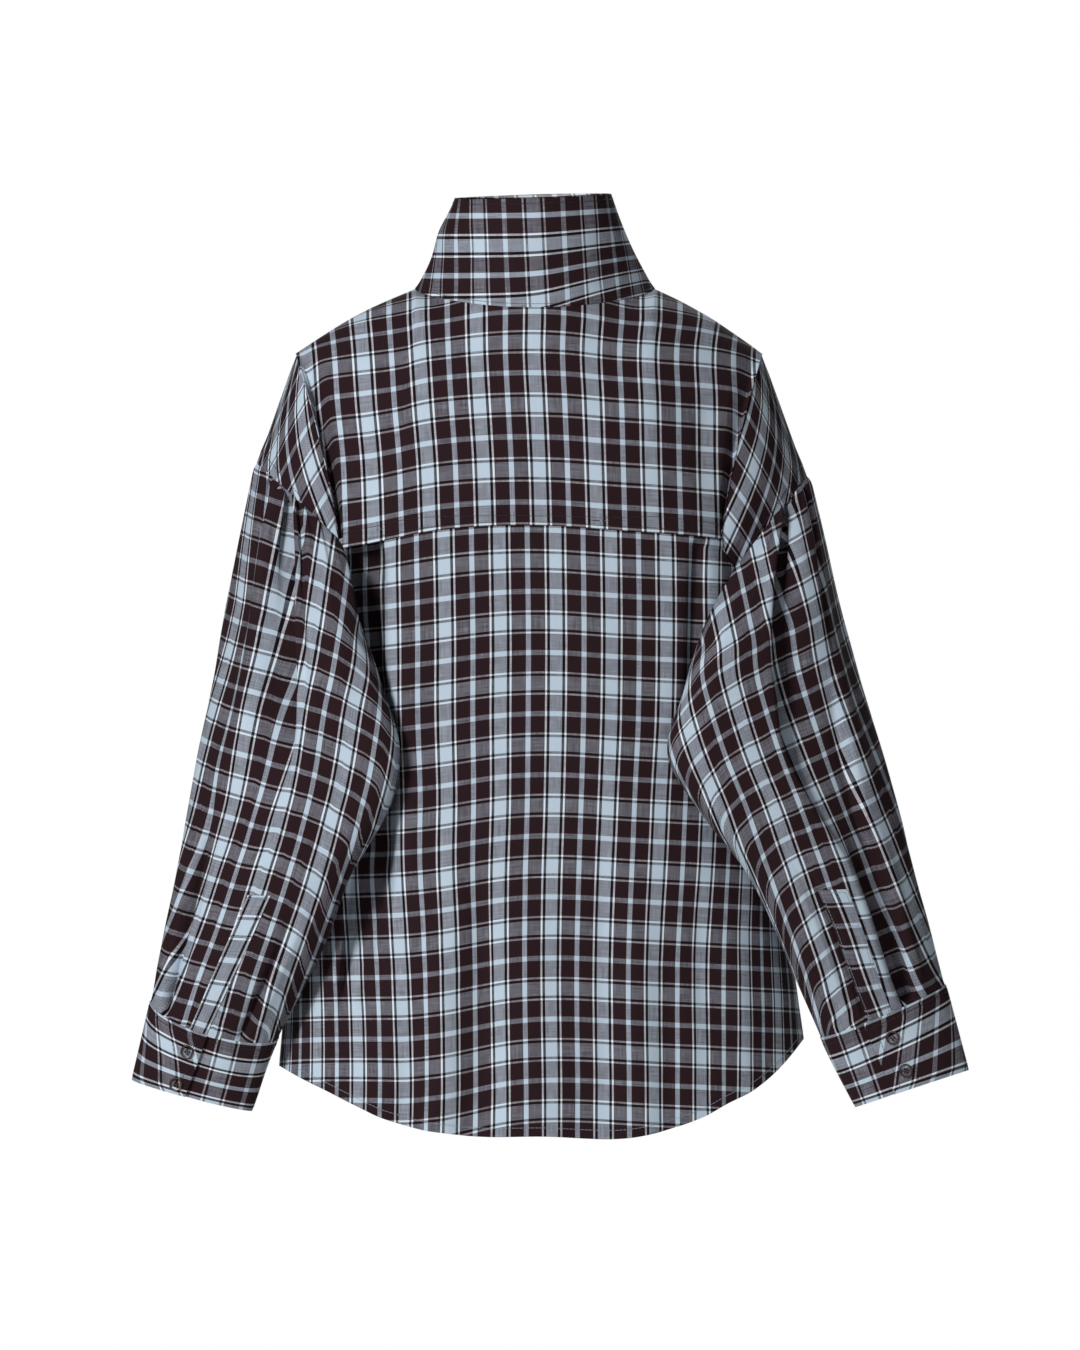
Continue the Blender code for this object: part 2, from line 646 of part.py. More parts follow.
def button(name, face, u, v, outward):
    """A small dished disc that sits on a face, on top of the cloth."""
    u, v = np.array([u]), np.array([v])
    way = Vector(normals(face, u, v)[0]) * outward
    seat = Vector(face(u, v)[0]) + way * (BUTTON_SEAT_GAP + BUTTON_THICKNESS / 2)
    bm = bmesh.new()
    bmesh.ops.create_cone(bm, cap_ends=True, segments=BUTTON_SIDES, radius1=BUTTON_DIAMETER / 2,
                          radius2=BUTTON_DIAMETER / 2 - BUTTON_CHAMFER, depth=BUTTON_THICKNESS)
    turn = way.to_track_quat("Z", "Y").to_matrix().to_4x4()
    bmesh.ops.transform(bm, matrix=turn, verts=bm.verts)
    bmesh.ops.translate(bm, vec=seat, verts=bm.verts)
    bmesh.ops.scale(bm, vec=(MM, MM, MM), verts=bm.verts)
    return add_object(name, bm, BUTTON_COLOUR, BUTTON_ROUGHNESS)


# ---------------------------------------------------------------- the shirt

def body_columns(first, last):
    """The body's steps across from one edge to another, with a step at each end of the neck."""
    steps = joined(
        np.linspace(-1, -0.5, SHOULDER_STEPS + 1),
        np.linspace(-0.5, 0.5, NECK_STEPS + 1),
        np.linspace(0.5, 1, SHOULDER_STEPS + 1),
    )
    inside = steps[(steps > first + 0.02) & (steps < last - 0.02)]
    return np.concatenate([[first], inside, [last]])


def build_body():
    skirt = joined(FOOT_ROWS, SKIRT_ROWS)
    whole = joined(YOKE_ROWS, FOOT_ROWS, SKIRT_ROWS)
    cloth("back_yoke", back, body_columns(-1, 1), YOKE_ROWS, BACK_OUTWARD)
    cloth("back_panel", back, body_columns(-1, 1), skirt, BACK_OUTWARD)
    cloth("front_over", front_over, body_columns(OVER_EDGE, 1), whole, FRONT_OUTWARD)
    cloth("front_under", front, body_columns(-1, UNDER_EDGE), whole, FRONT_OUTWARD)
    under = -body_columns(-0.5, UNDER_EDGE)[::-1]
    over = 2 - body_columns(OVER_EDGE, 0.5)[::-1]
    run = joined(under, 1 + body_columns(-0.5, 0.5), over)
    cloth("collar", collar, run, COLLAR_ROWS, COLLAR_OUTWARD)


def sleeve_columns(hand):
    """The sleeve's steps round: from the shoulder to the cap's back end, under the arm, and up."""
    behind, before = (end * CAP_END for end in cap_ends(hand))
    place = PLACKET_PLACE[hand]
    return joined(
        np.linspace(0, place - PLACKET_HALF_WIDTH, OUTER_STEPS + 1),
        np.linspace(place - PLACKET_HALF_WIDTH, place + PLACKET_HALF_WIDTH, PLACKET_STEPS + 1),
        np.linspace(place + PLACKET_HALF_WIDTH, behind, TIP_STEPS + 1),
        np.linspace(behind, 1 - before, UNDERARM_STEPS + 1),
        np.linspace(1 - before, 1, FRONT_STEPS + 1),
    )


def build_arm(hand, word):
    def cap_face(r, v):
        return cap(hand, r, v)

    def sleeve_face(r, s):
        return sleeve(hand, r, s)

    def cuff_face(r, v):
        return cuff(hand, r, v)

    def placket_face(r, s):
        return raised(sleeve_face, r, s, PATCH_LIFT + 0 * r, hand)

    behind, before = (end * CAP_END for end in cap_ends(hand))
    steps = sleeve_columns(hand)
    in_front = steps[steps >= 1 - before - 1e-9] - 1
    at_back = steps[(steps > 0) & (steps <= behind + 1e-9)]
    on_cap = np.concatenate([in_front, at_back])
    down_armhole = np.clip(np.abs(on_cap) / np.where(on_cap > 0, behind, before), 0, 1)
    cap_top = mix(SHOULDER_PULL, ARMHOLE_PULL, ease(down_armhole))[:, None]
    cloth(f"shoulder_cap_{word}", cap_face, on_cap, CAP_ROWS, hand,
          pulls=(SEAM_HALF_GAP, SEAM_HALF_GAP, cap_top, SEAM_HALF_GAP))
    on_seam = ease((behind - steps) / CAP_TIP_REACH) + ease((steps - 1 + before) / CAP_TIP_REACH)
    top = mix(ARMPIT_PULL, SEAM_HALF_GAP, on_seam)[:, None]
    cloth(f"sleeve_{word}", sleeve_face, steps, SLEEVE_ROWS, hand,
          pulls=(0, 0, top, SEAM_HALF_GAP), closed=True)
    lap = CUFF_LAP[hand]
    lapped = np.linspace(lap - CUFF_LAP_REACH, lap, CUFF_LAP_STEPS + 1)
    between = np.linspace(lap, 1 + lap - CUFF_LAP_REACH, CUFF_STEPS + 1)
    cloth(f"cuff_{word}", cuff_face, joined(lapped, between, 1 + lapped), CUFF_ROWS, hand)
    place = PLACKET_PLACE[hand]
    cloth(f"sleeve_placket_{word}", placket_face,
          np.linspace(place - PLACKET_HALF_WIDTH, place + PLACKET_HALF_WIDTH, PLACKET_STEPS + 1),
          SLEEVE_ROWS[SLEEVE_ROWS >= PLACKET_START], hand)
    for number, row in enumerate(CUFF_BUTTON_ROWS[hand], 1):
        button(f"cuff_button_{word}_{number}", cuff_face, 1 + lap - CUFF_BUTTON_INSET[hand], row, hand)


def build_buttons():
    for number, row in enumerate(FRONT_BUTTON_ROWS, 1):
        button(f"front_button_{number}", front_over, OVER_EDGE + FRONT_BUTTON_INSET, row, FRONT_OUTWARD)
    run = 2 - OVER_EDGE - FRONT_BUTTON_INSET
    button("collar_button", collar, run, COLLAR_BUTTON_HEIGHT, COLLAR_OUTWARD)


for old in list(bpy.data.objects):
    bpy.data.objects.remove(old, do_unlink=True)

build_body()
build_arm(-1, "left")
build_arm(1, "right")
build_buttons()
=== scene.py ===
# %% [markdown]
# # A checked cotton shirt, filled out as it is worn
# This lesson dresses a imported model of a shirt. The model is the frame: each of its nodes is
# a plain solid with the true place and size. Here a thin shell of cloth replaces each one,
# with its check, creases, stitches and buttons. Lengths in the tables are millimetres in the
# model's own frame: +Z up, the back at -Y and the wearer's left at -X. A "drop" is how far a
# point lies below the neck seam.

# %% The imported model
import math

import bmesh
import bpy
import numpy as np
from mathutils import Matrix, Vector


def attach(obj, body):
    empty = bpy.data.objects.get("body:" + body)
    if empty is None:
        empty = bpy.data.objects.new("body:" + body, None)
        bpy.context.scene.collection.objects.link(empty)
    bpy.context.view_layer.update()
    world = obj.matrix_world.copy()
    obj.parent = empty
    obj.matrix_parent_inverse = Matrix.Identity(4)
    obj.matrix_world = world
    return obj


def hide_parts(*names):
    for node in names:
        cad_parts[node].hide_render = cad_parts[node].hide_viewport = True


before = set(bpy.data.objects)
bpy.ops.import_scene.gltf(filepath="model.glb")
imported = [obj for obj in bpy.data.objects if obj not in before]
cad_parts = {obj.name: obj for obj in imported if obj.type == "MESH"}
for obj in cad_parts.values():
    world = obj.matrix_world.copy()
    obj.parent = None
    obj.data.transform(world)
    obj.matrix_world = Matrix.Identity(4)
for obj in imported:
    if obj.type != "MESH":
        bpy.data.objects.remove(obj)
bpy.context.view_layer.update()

MM = 0.001

# %% [markdown]
# ## Tables, and soft steps between numbers
# A tailor keeps a few measures for each section of a garment and draws smooth curves through
# them. `table` holds such measures under named columns and `read` follows the curve. `ease`
# is a soft step from 0 to 1, which is how most cloth starts and stops to bend.

# %% Reading a table of measures
def table(columns, *rows):
    """A short table, as one array for each named column."""
    return {name: np.array(values, float) for name, values in zip(columns.split(), zip(*rows))}


def read(tab, name, at):
    """A column of a table at a value of its first column, on a smooth curve through its rows."""
    keys = next(iter(tab.values()))
    values = tab[name]
    slopes = np.gradient(values, keys)
    at = np.clip(at, keys[0], keys[-1])
    row = np.clip(np.searchsorted(keys, at, side="right") - 1, 0, len(keys) - 2)
    step = keys[row + 1] - keys[row]
    t = (at - keys[row]) / step
    start = (1 + 2 * t) * (1 - t) ** 2 * values[row] + t * (1 - t) ** 2 * step * slopes[row]
    end = t * t * (3 - 2 * t) * values[row + 1] + t * t * (t - 1) * step * slopes[row + 1]
    return start + end


def joined(*runs):
    """Runs of steps put end to end, each shared end once."""
    return np.concatenate([runs[0]] + [run[1:] for run in runs[1:]])


def ease(t):
    """0 below 0, 1 above 1, and a soft step between."""
    t = np.clip(t, 0.0, 1.0)
    return t * t * (3 - 2 * t)


def mix(a, b, t):
    return a + (b - a) * t


def stack(x, y, z):
    return np.stack(np.broadcast_arrays(x, y, z), axis=-1)


print("a soft step:", ease(np.array([0.0, 0.25, 0.5, 0.75, 1.0])))

# %% [markdown]
# ## The body's form
# A shirt filled out by a body is a soft-cornered oval at every height, wider towards the hem.
# Above the chest it closes in to the shoulders and the neck. One function gives any point of
# it: u runs across from the left side (-1) to the right side (1), and v runs down from the
# shoulder (-1) over the chest (0) to the hem (1). A function is chosen here, and not sculpting
# by hand, because every panel, seam and stitch line can then be worked out from it.

# %% The body's measures
# Neck and shoulders
NECK_HALF_WIDTH = 102.0
NECK_CORNER = (102.0, 8.0, 4.0)
SHOULDER_TIP = {-1: (-203.0, 8.0, -51.0), 1: (193.0, 8.0, -51.0)}
SHOULDER_CROWN = 4.0
RIDGE_TURN = 6.0
# Each side's neck: its depth, its drop, the cloth's slope at its middle, and the powers that
# shape the depth and the drop
NECK = {-1: (80.0, 14.5, 54.0, 1.4, 1.6), 1: (76.0, 38.0, 40.0, 1.4, 1.7)}
SHOULDER_FLARE = 1.4

# Armholes, as turns round the body from its centre line
ARMHOLE_TURN = 53.8
SIDE_TURN = 90.0
UNDERARM_DROP = 250.0
UNDERARM_ROW = 0.25
CHEST_LEVEL = 200.0
CHEST_SPREAD = 0.4
FRONT_CHEST_DROP = 208.0

# The body's sections, from the yoke to the hem
TORSO = table(
    "drop centre half_width back front square",
    (185, -3.5, 184, 110, 110, 2.8),
    (208, -3.5, 184, 110, 112, 2.8),
    (250, -3.0, 187, 112, 114, 2.7),
    (390, 0.0, 196, 113, 112, 2.5),
    (520, 3.0, 209, 114, 108, 2.4),
    (640, 6.5, 223, 114, 108, 2.3),
    (720, 7.0, 229, 115, 108, 2.3),
)

# The yoke seam's drop, across the back from armhole to armhole
YOKE_SEAM = table(
    "across drop",
    (-1.00, 216), (-0.80, 211.5), (-0.43, 199.5), (0.10, 196), (0.40, 199.8), (0.67, 203), (1.00, 207.5),
)

# The tail's hem, across the back from side seam to side seam
HEM = table(
    "across drop",
    (-1.00, 655), (-0.92, 665), (-0.82, 676), (-0.71, 688.5), (-0.59, 701), (-0.32, 714), (0.00, 715.5),
    (0.37, 715), (0.575, 701), (0.68, 688.5), (0.79, 676), (0.87, 663), (0.93, 650), (1.00, 632),
)
FRONT_HEM_RISE = 18.0
print("the back's length from the neck seam to the hem, in mm:", HEM["drop"].max())

# %% The shoulder line and the chest
def round_section(turn, square):
    """Where a turn round a soft-cornered oval lies: across and along, both from -1 to 1."""
    across, along = np.sin(turn), np.cos(turn)
    size = (np.abs(across) ** square + np.abs(along) ** square) ** (1 / square)
    return across / size, along / size


def top_line(side, u):
    """The neck seam and the shoulder seams, from the left shoulder (-1) to the right one (1)."""
    hand = np.where(u < 0, -1, 1)
    out = np.clip((np.abs(u) - 0.5) / 0.5, 0, None)
    tip = np.where((u < 0)[..., None], SHOULDER_TIP[-1], SHOULDER_TIP[1])
    corner = np.stack([NECK_CORNER[0] * hand, NECK_CORNER[1] + 0 * u, NECK_CORNER[2] + 0 * u], axis=-1)
    shoulder = mix(corner, tip, out[..., None])
    shoulder[..., 2] += SHOULDER_CROWN * np.sin(np.pi * np.clip(out, 0, 1))
    bend = (np.clip(u, -0.5, 0.5) + 0.5) * np.pi
    rise = np.sin(bend)
    depth, drop, turn, depth_power, drop_power = NECK[side]
    neck = stack(
        -NECK_HALF_WIDTH * np.cos(bend),
        NECK_CORNER[1] + side * depth * rise ** depth_power,
        NECK_CORNER[2] - drop * rise ** drop_power,
    )
    line = np.where((np.abs(u) > 0.5)[..., None], shoulder, neck)
    turn = side * RIDGE_TURN + turn * rise * rise
    return line, np.radians(turn)


def chest_share(u):
    """The steps across at the chest. They are wider in the middle, so that columns run straight."""
    return u * (1 + CHEST_SPREAD * (1 - u * u))


def chest_drop(side, u):
    return read(YOKE_SEAM, "drop", chest_share(u)) if side < 0 else FRONT_CHEST_DROP + 0 * u


print("the right shoulder's tip:", top_line(-1, np.array([1.0]))[0])

# %% The body's sides, down to the hem
def torso(side, turn, drop):
    """A point of the body's side (-1 back, 1 front), by its turn from the centre line."""
    across, along = round_section(turn, read(TORSO, "square", drop))
    depth = read(TORSO, "back" if side < 0 else "front", drop)
    x = read(TORSO, "centre", drop) + read(TORSO, "half_width", drop) * across
    return stack(x, side * depth * along, -drop)


def hem_drop(side, turn):
    across, _ = round_section(turn, TORSO["square"][-1])
    rise = FRONT_HEM_RISE * (1 - across ** 4) if side > 0 else 0.0
    return read(HEM, "drop", across) - rise


def body(side, u, v):
    """The body's outer face: v is -1 at the shoulder, 0 at the chest and 1 at the hem."""
    u, v = np.broadcast_arrays(np.asarray(u, float), np.asarray(v, float))
    chest = torso(side, np.radians(ARMHOLE_TURN) * chest_share(u), chest_drop(side, u))
    line, start = top_line(side, u)
    angle = np.pi / 2 - (np.pi / 2 - start) * np.clip(-v, 0, None)
    out = (np.sin(angle) - np.sin(start)) / (1 - np.sin(start))
    up = np.cos(angle) / np.cos(start)
    upper = stack(
        mix(chest[..., 0], line[..., 0], np.abs(up) ** SHOULDER_FLARE),
        mix(line[..., 1], chest[..., 1], out),
        mix(chest[..., 2], line[..., 2], up),
    )
    # Below the chest the sides run round the armhole's foot, and then down the side seams.
    foot = np.clip(v / UNDERARM_ROW, 0, 1)
    edge = (SIDE_TURN - ARMHOLE_TURN) * (1 - np.cos(foot * np.pi / 2))
    turn = np.radians(ARMHOLE_TURN * chest_share(u) + edge * np.abs(u) * u ** 3)
    fall = mix(foot, np.sin(foot * np.pi / 2), np.minimum(np.abs(u), 1) ** 4)
    drop = mix(chest_drop(side, u), UNDERARM_DROP, fall)
    drop = mix(drop, hem_drop(side, turn), np.clip((v - UNDERARM_ROW) / (1 - UNDERARM_ROW), 0, None))
    lower = torso(side, turn, drop)
    ripple = body_fold(side, lower[..., 0], drop, v)
    lower[..., 0] += ripple * np.sin(turn)
    lower[..., 1] += ripple * np.cos(turn) * side
    return np.where((v < 0)[..., None], upper, lower)


print("the body's left side, near the hem:", torso(-1, np.radians(-SIDE_TURN), 700.0))

# %% [markdown]
# ## The body's soft folds
# Below the yoke the cloth hangs in a few long, soft folds, which grow towards the hem. Each is
# a row of the table: its side, where it lies across that side at the chest and at the hem,
# where it starts, its width and its depth.

# %% Long folds of the body
BODY_FOLDS = table(
    "side chest hem start width depth",
    (-1, -0.20, -0.27, 0.35, 0.055, -5.0),
    (-1, -0.34, -0.40, 0.50, 0.050, 4.0),
    (-1, -0.48, -0.53, 0.55, 0.050, -4.5),
    (-1, 0.16, 0.14, 0.45, 0.060, -3.5),
    (-1, 0.52, 0.48, 0.60, 0.060, -4.5),
    (-1, 0.66, 0.64, 0.65, 0.050, 3.5),
    (1, -0.10, -0.16, 0.30, 0.060, -4.5),
    (1, 0.22, 0.26, 0.45, 0.060, -4.0),
    (1, 0.50, 0.52, 0.35, 0.060, -4.5),
    (1, -0.60, -0.56, 0.50, 0.060, -4.0),
)
# Where the folds would reach their full depth, just past the hem
FOLD_FULL = 1.05


def body_fold(side, x, drop, v):
    """How far the soft folds move the body's cloth in or out."""
    across = (x - read(TORSO, "centre", drop)) / read(TORSO, "half_width", drop)
    total = 0 * across
    for fold_side, chest, hem, start, width, depth in zip(*BODY_FOLDS.values()):
        if fold_side == side:
            place = mix(chest, hem, np.clip(v, 0, 1))
            strength = ease((v - start) / (FOLD_FULL - start))
            total = total + depth * strength * np.exp(-((across - place) / width) ** 2)
    return total


def back(u, v):
    return body(-1, u, v)


def front(u, v):
    return body(1, u, v)


print("the back's centre, from the shoulder to the hem:", back(np.zeros(3), np.array([-1.0, 0.0, 1.0])))

# %% [markdown]
# ## Working on a face
# Creases, laps, buttons and stitches all lie on a face of cloth or are moved out from it, so
# they need its outward direction. It comes from two small steps along the face.

# %% Directions out of a face
# Which way each face's own normal points: 1 where it already points out
BACK_OUTWARD = -1
FRONT_OUTWARD = 1
COLLAR_OUTWARD = 1


def normals(face, u, v, step=1e-3):
    """A face's own normals, from points a small step to each side."""
    along_u = face(u + step, v) - face(u - step, v)
    along_v = face(u, v + step) - face(u, v - step)
    n = np.cross(along_u, along_v)
    return n / np.maximum(np.linalg.norm(n, axis=-1, keepdims=True), 1e-9)


def raised(face, u, v, lift, outward):
    """A face's points moved out by a lift."""
    return face(u, v) + normals(face, u, v) * outward * np.asarray(lift)[..., None]


print("the way out of the back, at its middle:", BACK_OUTWARD * normals(back, np.zeros(1), np.zeros(1))[0])

# %% [markdown]
# ## The front laps
# The front isn't seen in the photograph, so it is kept plain: the front on the wearer's right
# laps over the other one, and closes with buttons near the wearer's left.

# %% The two fronts and their lap
LAP_LIFT = 1.7
NECK_LAP_SHIFT = 0.8
NECK_LAP_ROW = -0.75
# Front lap: how far each front and each end of the collar reaches, across the shirt. The neck
# is cut into equal steps, and both edges lie on a step.
NECK_STEPS = 14
OVER_EDGE = -6 / NECK_STEPS
UNDER_EDGE = -3 / NECK_STEPS
LAP_RAMP = 2 / NECK_STEPS


def lap_lift(u):
    """How far the upper front, and the collar on it, is lifted where it lies on the lower one."""
    return LAP_LIFT * ease((UNDER_EDGE + LAP_RAMP - u) / LAP_RAMP)


def front_over(u, v):
    """The front on the wearer's right, lifted where it lies on the other front. At the neck it
    also moves up and away from the neck, to leave room for the collar's own lap."""
    point = raised(front, u, v, lap_lift(u), FRONT_OUTWARD)
    away = from_neck_axis(point) + [0, 0, 1]
    share = ease((NECK_LAP_ROW - v) / (1 + NECK_LAP_ROW))
    return point + away * (NECK_LAP_SHIFT * lap_lift(u) * share)[..., None]


print("the lap's edge lies this far over the lower front:", lap_lift(OVER_EDGE), "mm")

# %% [markdown]
# ## The collar's form
# The collar is one tall funnel that leans in towards its top edge and laps over itself at the
# left front. It joins the neck seam to a smaller ring above, with a slight hollow between.

# %% The funnel collar
COLLAR_TOP_HALF_WIDTH = 66.5
COLLAR_TOP_CENTRE = -1.5
COLLAR_TOP_BACK = 58.0
COLLAR_TOP_FRONT = 60.0
COLLAR_TOP_HEIGHT = 84.0
COLLAR_TOP_TILT = 2.0
COLLAR_FRONT_RISE = 1.5
COLLAR_SAG = 1.5
COLLAR_HOLLOW = 3.0


def collar_ring(side, u):
    """The collar's top edge above the point u of the neck seam. It stands higher at the right."""
    bend = (u + 0.5) * np.pi
    depth = COLLAR_TOP_BACK if side < 0 else COLLAR_TOP_FRONT
    rise = COLLAR_FRONT_RISE * np.sin(bend) if side > 0 else -COLLAR_SAG * np.sin(bend)
    return stack(
        COLLAR_TOP_CENTRE - COLLAR_TOP_HALF_WIDTH * np.cos(bend),
        NECK_CORNER[1] + side * depth * np.sin(bend),
        COLLAR_TOP_HEIGHT + rise - COLLAR_TOP_TILT * np.cos(bend),
    )


def collar(run, v):
    """The collar's outer face. Its run starts at the under end, at 0.5 and 1.5 it passes the
    left and the right end of the neck's back, and past 1.5 it comes round to the over end."""
    run, v = np.broadcast_arrays(np.asarray(run, float), np.asarray(v, float))
    left = np.clip(-run, -0.5, None)
    behind = np.clip(run - 1.0, -0.5, 0.5)
    right = np.clip(2.0 - run, None, 0.5)
    first = (run < 0.5)[..., None]
    second = (run < 1.5)[..., None]
    over_foot = front_over(right, -1 + 0 * v)
    over_head = collar_ring(1, right)
    over_head = over_head + from_neck_axis(over_head) * lap_lift(right)[..., None]
    foot = np.where(first, top_line(1, left)[0], np.where(second, top_line(-1, behind)[0], over_foot))
    head = np.where(first, collar_ring(1, left), np.where(second, collar_ring(-1, behind), over_head))
    point = mix(foot, head, v[..., None])
    return point - from_neck_axis(point) * (COLLAR_HOLLOW * np.sin(np.pi * v))[..., None]


def from_neck_axis(point):
    """The level directions from the neck's upright axis to the points."""
    out = (point - [0, NECK_CORNER[1], 0]) * [1, 1, 0]
    return out / np.linalg.norm(out, axis=-1, keepdims=True)


print("the collar's top edge, at the back:", collar(np.ones(1), np.ones(1))[0])

# %% [markdown]
# ## The arms' form
# Each arm hangs a little away from the body. Its sections are ovals between an outer and an
# inner side, listed from the armhole to the cuff's edge. The shoulder falls into the arm over
# a crescent-shaped cap, and the full sleeve is gathered onto that cap's lower edge.

# %% The arms' measures
# The arms' sections. "outer" and "inner" are the two sides that show from the back, "near"
# and "far" how far the sleeve swells towards the back and towards the front.
ARM_COLUMNS = "along ox oz oy ix iz iy near near_z far far_z"
ARMS = {
    -1: table(
        ARM_COLUMNS,
        (0, -234, -139, 0, -172, -248, -20, 78, 0, 76, 0),
        (49, -247, -195, -6, -157, -264, -66, 66, 0, 108, 0),
        (103, -262, -265, -18, -144, -292, -96, 56, -6, 100, 0),
        (159, -274, -330, -34, -129, -335, -108, 48, -4, 84, 0),
        (214, -286, -388, -48, -115, -386, -114, 44, 0, 66, 0),
        (270, -297, -447, -52, -124, -436, -112, 42, 0, 52, 0),
        (329, -306, -495, -52, -158, -497, -100, 40, 0, 42, 0),
        (379, -315, -540, -50, -177, -548, -86, 38, -3, 36, 0),
        (423, -322, -575, -46, -198, -592, -68, 34, -9, 30, 3),
        (461, -327, -602, -42, -219, -632, -48, 26, -15, 24, 6),
        (527, -342, -667, -40, -241, -693, -38, 23, -3, 22, 2),
    ),
    1: table(
        ARM_COLUMNS,
        (0, 229, -151, 0, 168, -252, -20, 78, 0, 76, 0),
        (46, 243, -200, -6, 152, -272, -66, 66, 0, 108, 0),
        (93, 258, -262, -18, 139, -297, -96, 56, -6, 100, 0),
        (146, 276, -325, -34, 127, -335, -108, 48, -4, 84, 0),
        (206, 295, -388, -48, 113, -391, -114, 44, 0, 66, 0),
        (259, 310, -440, -52, 138, -436, -110, 42, 0, 52, 0),
        (316, 322, -487, -52, 178, -489, -94, 40, 0, 42, 0),
        (369, 334, -532, -50, 205, -541, -76, 38, 0, 36, 0),
        (410, 343, -567, -46, 222, -582, -60, 34, -2, 30, 2),
        (450, 349, -588, -42, 244, -633, -46, 26, -4, 24, 4),
        (519, 368, -659, -40, 273, -690, -38, 23, 0, 22, 2),
    ),
}
SLEEVE_LENGTH = {-1: 461.0, 1: 450.0}
CUFF_END = {-1: 527.0, 1: 519.0}
SHOULDER_BLEND = 0.24

# How far the seam under the arm lies forward of the inner side, from the armhole to the cuff
UNDERARM_SHIFT = table(
    "down shift",
    (0, 0.02), (0.12, 0.08), (0.26, 0.11), (0.5, 0.08), (0.7, 0.06), (1, 0.06),
)

# Shoulder caps: the seam's outermost point, and the drops where its ends meet the armhole
CAP_TOP = {-1: (-234.0, 4.0, -139.0), 1: (229.0, 4.0, -151.0)}
CAP_BACK_DROP = {-1: 207.0, 1: 232.0}
CAP_FRONT_DROP = {-1: 205.0, 1: 205.0}
CAP_SWELL = 6.0
print("sections of the body and of each arm:", len(TORSO["drop"]), len(ARMS[1]["along"]))

# %% The armhole and the cap
YOKE_ROWS = np.linspace(-1, 0, 8)
FOOT_ROWS = np.linspace(0, UNDERARM_ROW, 5)


def armhole_outline(hand):
    """The armhole's edge, from the shoulder seam down the back, round and up the front."""
    rows = joined(YOKE_ROWS, FOOT_ROWS)
    down = body(-1, hand + 0 * rows, rows)
    up = body(1, hand + 0 * rows, rows)[::-1]
    points = np.concatenate([down, up[1:]])
    steps = np.linalg.norm(np.diff(points, axis=0), axis=1)
    place = np.concatenate([[0], np.cumsum(steps)])
    return place / place[-1], points


ARMHOLES = {hand: armhole_outline(hand) for hand in (-1, 1)}


def armhole(hand, r):
    """The armhole's edge at the place r: 0 and 1 at the shoulder, about 0.5 under the arm."""
    place, points = ARMHOLES[hand]
    r = np.mod(r, 1.0)
    return np.stack([np.interp(r, place, points[:, axis]) for axis in range(3)], axis=-1)


def cap_ends(hand):
    """The places round the armhole where the cap's seam leaves it, at the back and in front."""
    place, points = ARMHOLES[hand]
    half = len(place) // 2
    behind = np.interp(CAP_BACK_DROP[hand], -points[:half, 2], place[:half])
    before = np.interp(-CAP_FRONT_DROP[hand], points[half:, 2], place[half:])
    return behind, 1 - before


def cap_seam(hand, r):
    """The seam between the cap and the gathered sleeve. Under the arm it is the armhole itself."""
    behind, before = cap_ends(hand)
    r = np.mod(np.asarray(r, float) + 0.5, 1.0) - 0.5
    limit = np.where(r >= 0, behind, before)
    w = np.clip(np.abs(r) / limit, 0, 1)[..., None]
    end = armhole(hand, np.where(r >= 0, behind, -before))
    top = np.array(CAP_TOP[hand])
    point = mix(end, top, np.cos(w * np.pi / 2))
    point[..., 1:2] = mix(top[1], end[..., 1:2], np.sin(w * np.pi / 2))
    return np.where(w < 1, point, armhole(hand, r))


def cap(hand, r, v):
    """The crescent that lies over the shoulder, from the armhole (0) to the gathered seam (1)."""
    r, v = np.broadcast_arrays(np.asarray(r, float), np.asarray(v, float))
    point = mix(armhole(hand, r), cap_seam(hand, r), v[..., None])
    behind, before = cap_ends(hand)
    w = np.clip(np.abs(r) / np.where(r >= 0, behind, before), 0, 1)
    swell = CAP_SWELL * np.sin(np.pi * w) * np.sin(np.pi * np.clip(v, 0, 1))
    point[..., 1] += np.where(r >= 0, -swell, swell)
    return point


print("places round each armhole where the cap ends:", {hand: cap_ends(hand) for hand in (-1, 1)})

# %% The arm's ovals
SLEEVE_CLEARANCE = 3.0
SEAM_CLEARANCE = 0.8
CLEARANCE_REACH = 25.0


def arm_ring(hand, along, r):
    """The arm's section at a distance down it: an oval between its outer and inner sides."""
    tab = ARMS[hand]
    outer = stack(*(read(tab, name, along) for name in ("ox", "oy", "oz")))
    inner = stack(*(read(tab, name, along) for name in ("ix", "iy", "iz")))
    shift = read(UNDERARM_SHIFT, "shift", along / SLEEVE_LENGTH[hand])
    turn = 2 * np.pi * (r + shift * np.sin(np.pi * r) ** 2)
    rise = np.sin(turn)
    near = stack(0 * along, -read(tab, "near", along), read(tab, "near_z", along))
    far = stack(0 * along, -read(tab, "far", along), -read(tab, "far_z", along))
    swell = np.where((rise > 0)[..., None], near, far) * rise[..., None]
    return (outer + inner) / 2 + (outer - inner) / 2 * np.cos(turn)[..., None] + swell


def arm_centre(hand, along):
    tab = ARMS[hand]
    return stack(*((read(tab, "o" + a, along) + read(tab, "i" + a, along)) / 2 for a in "xyz"))


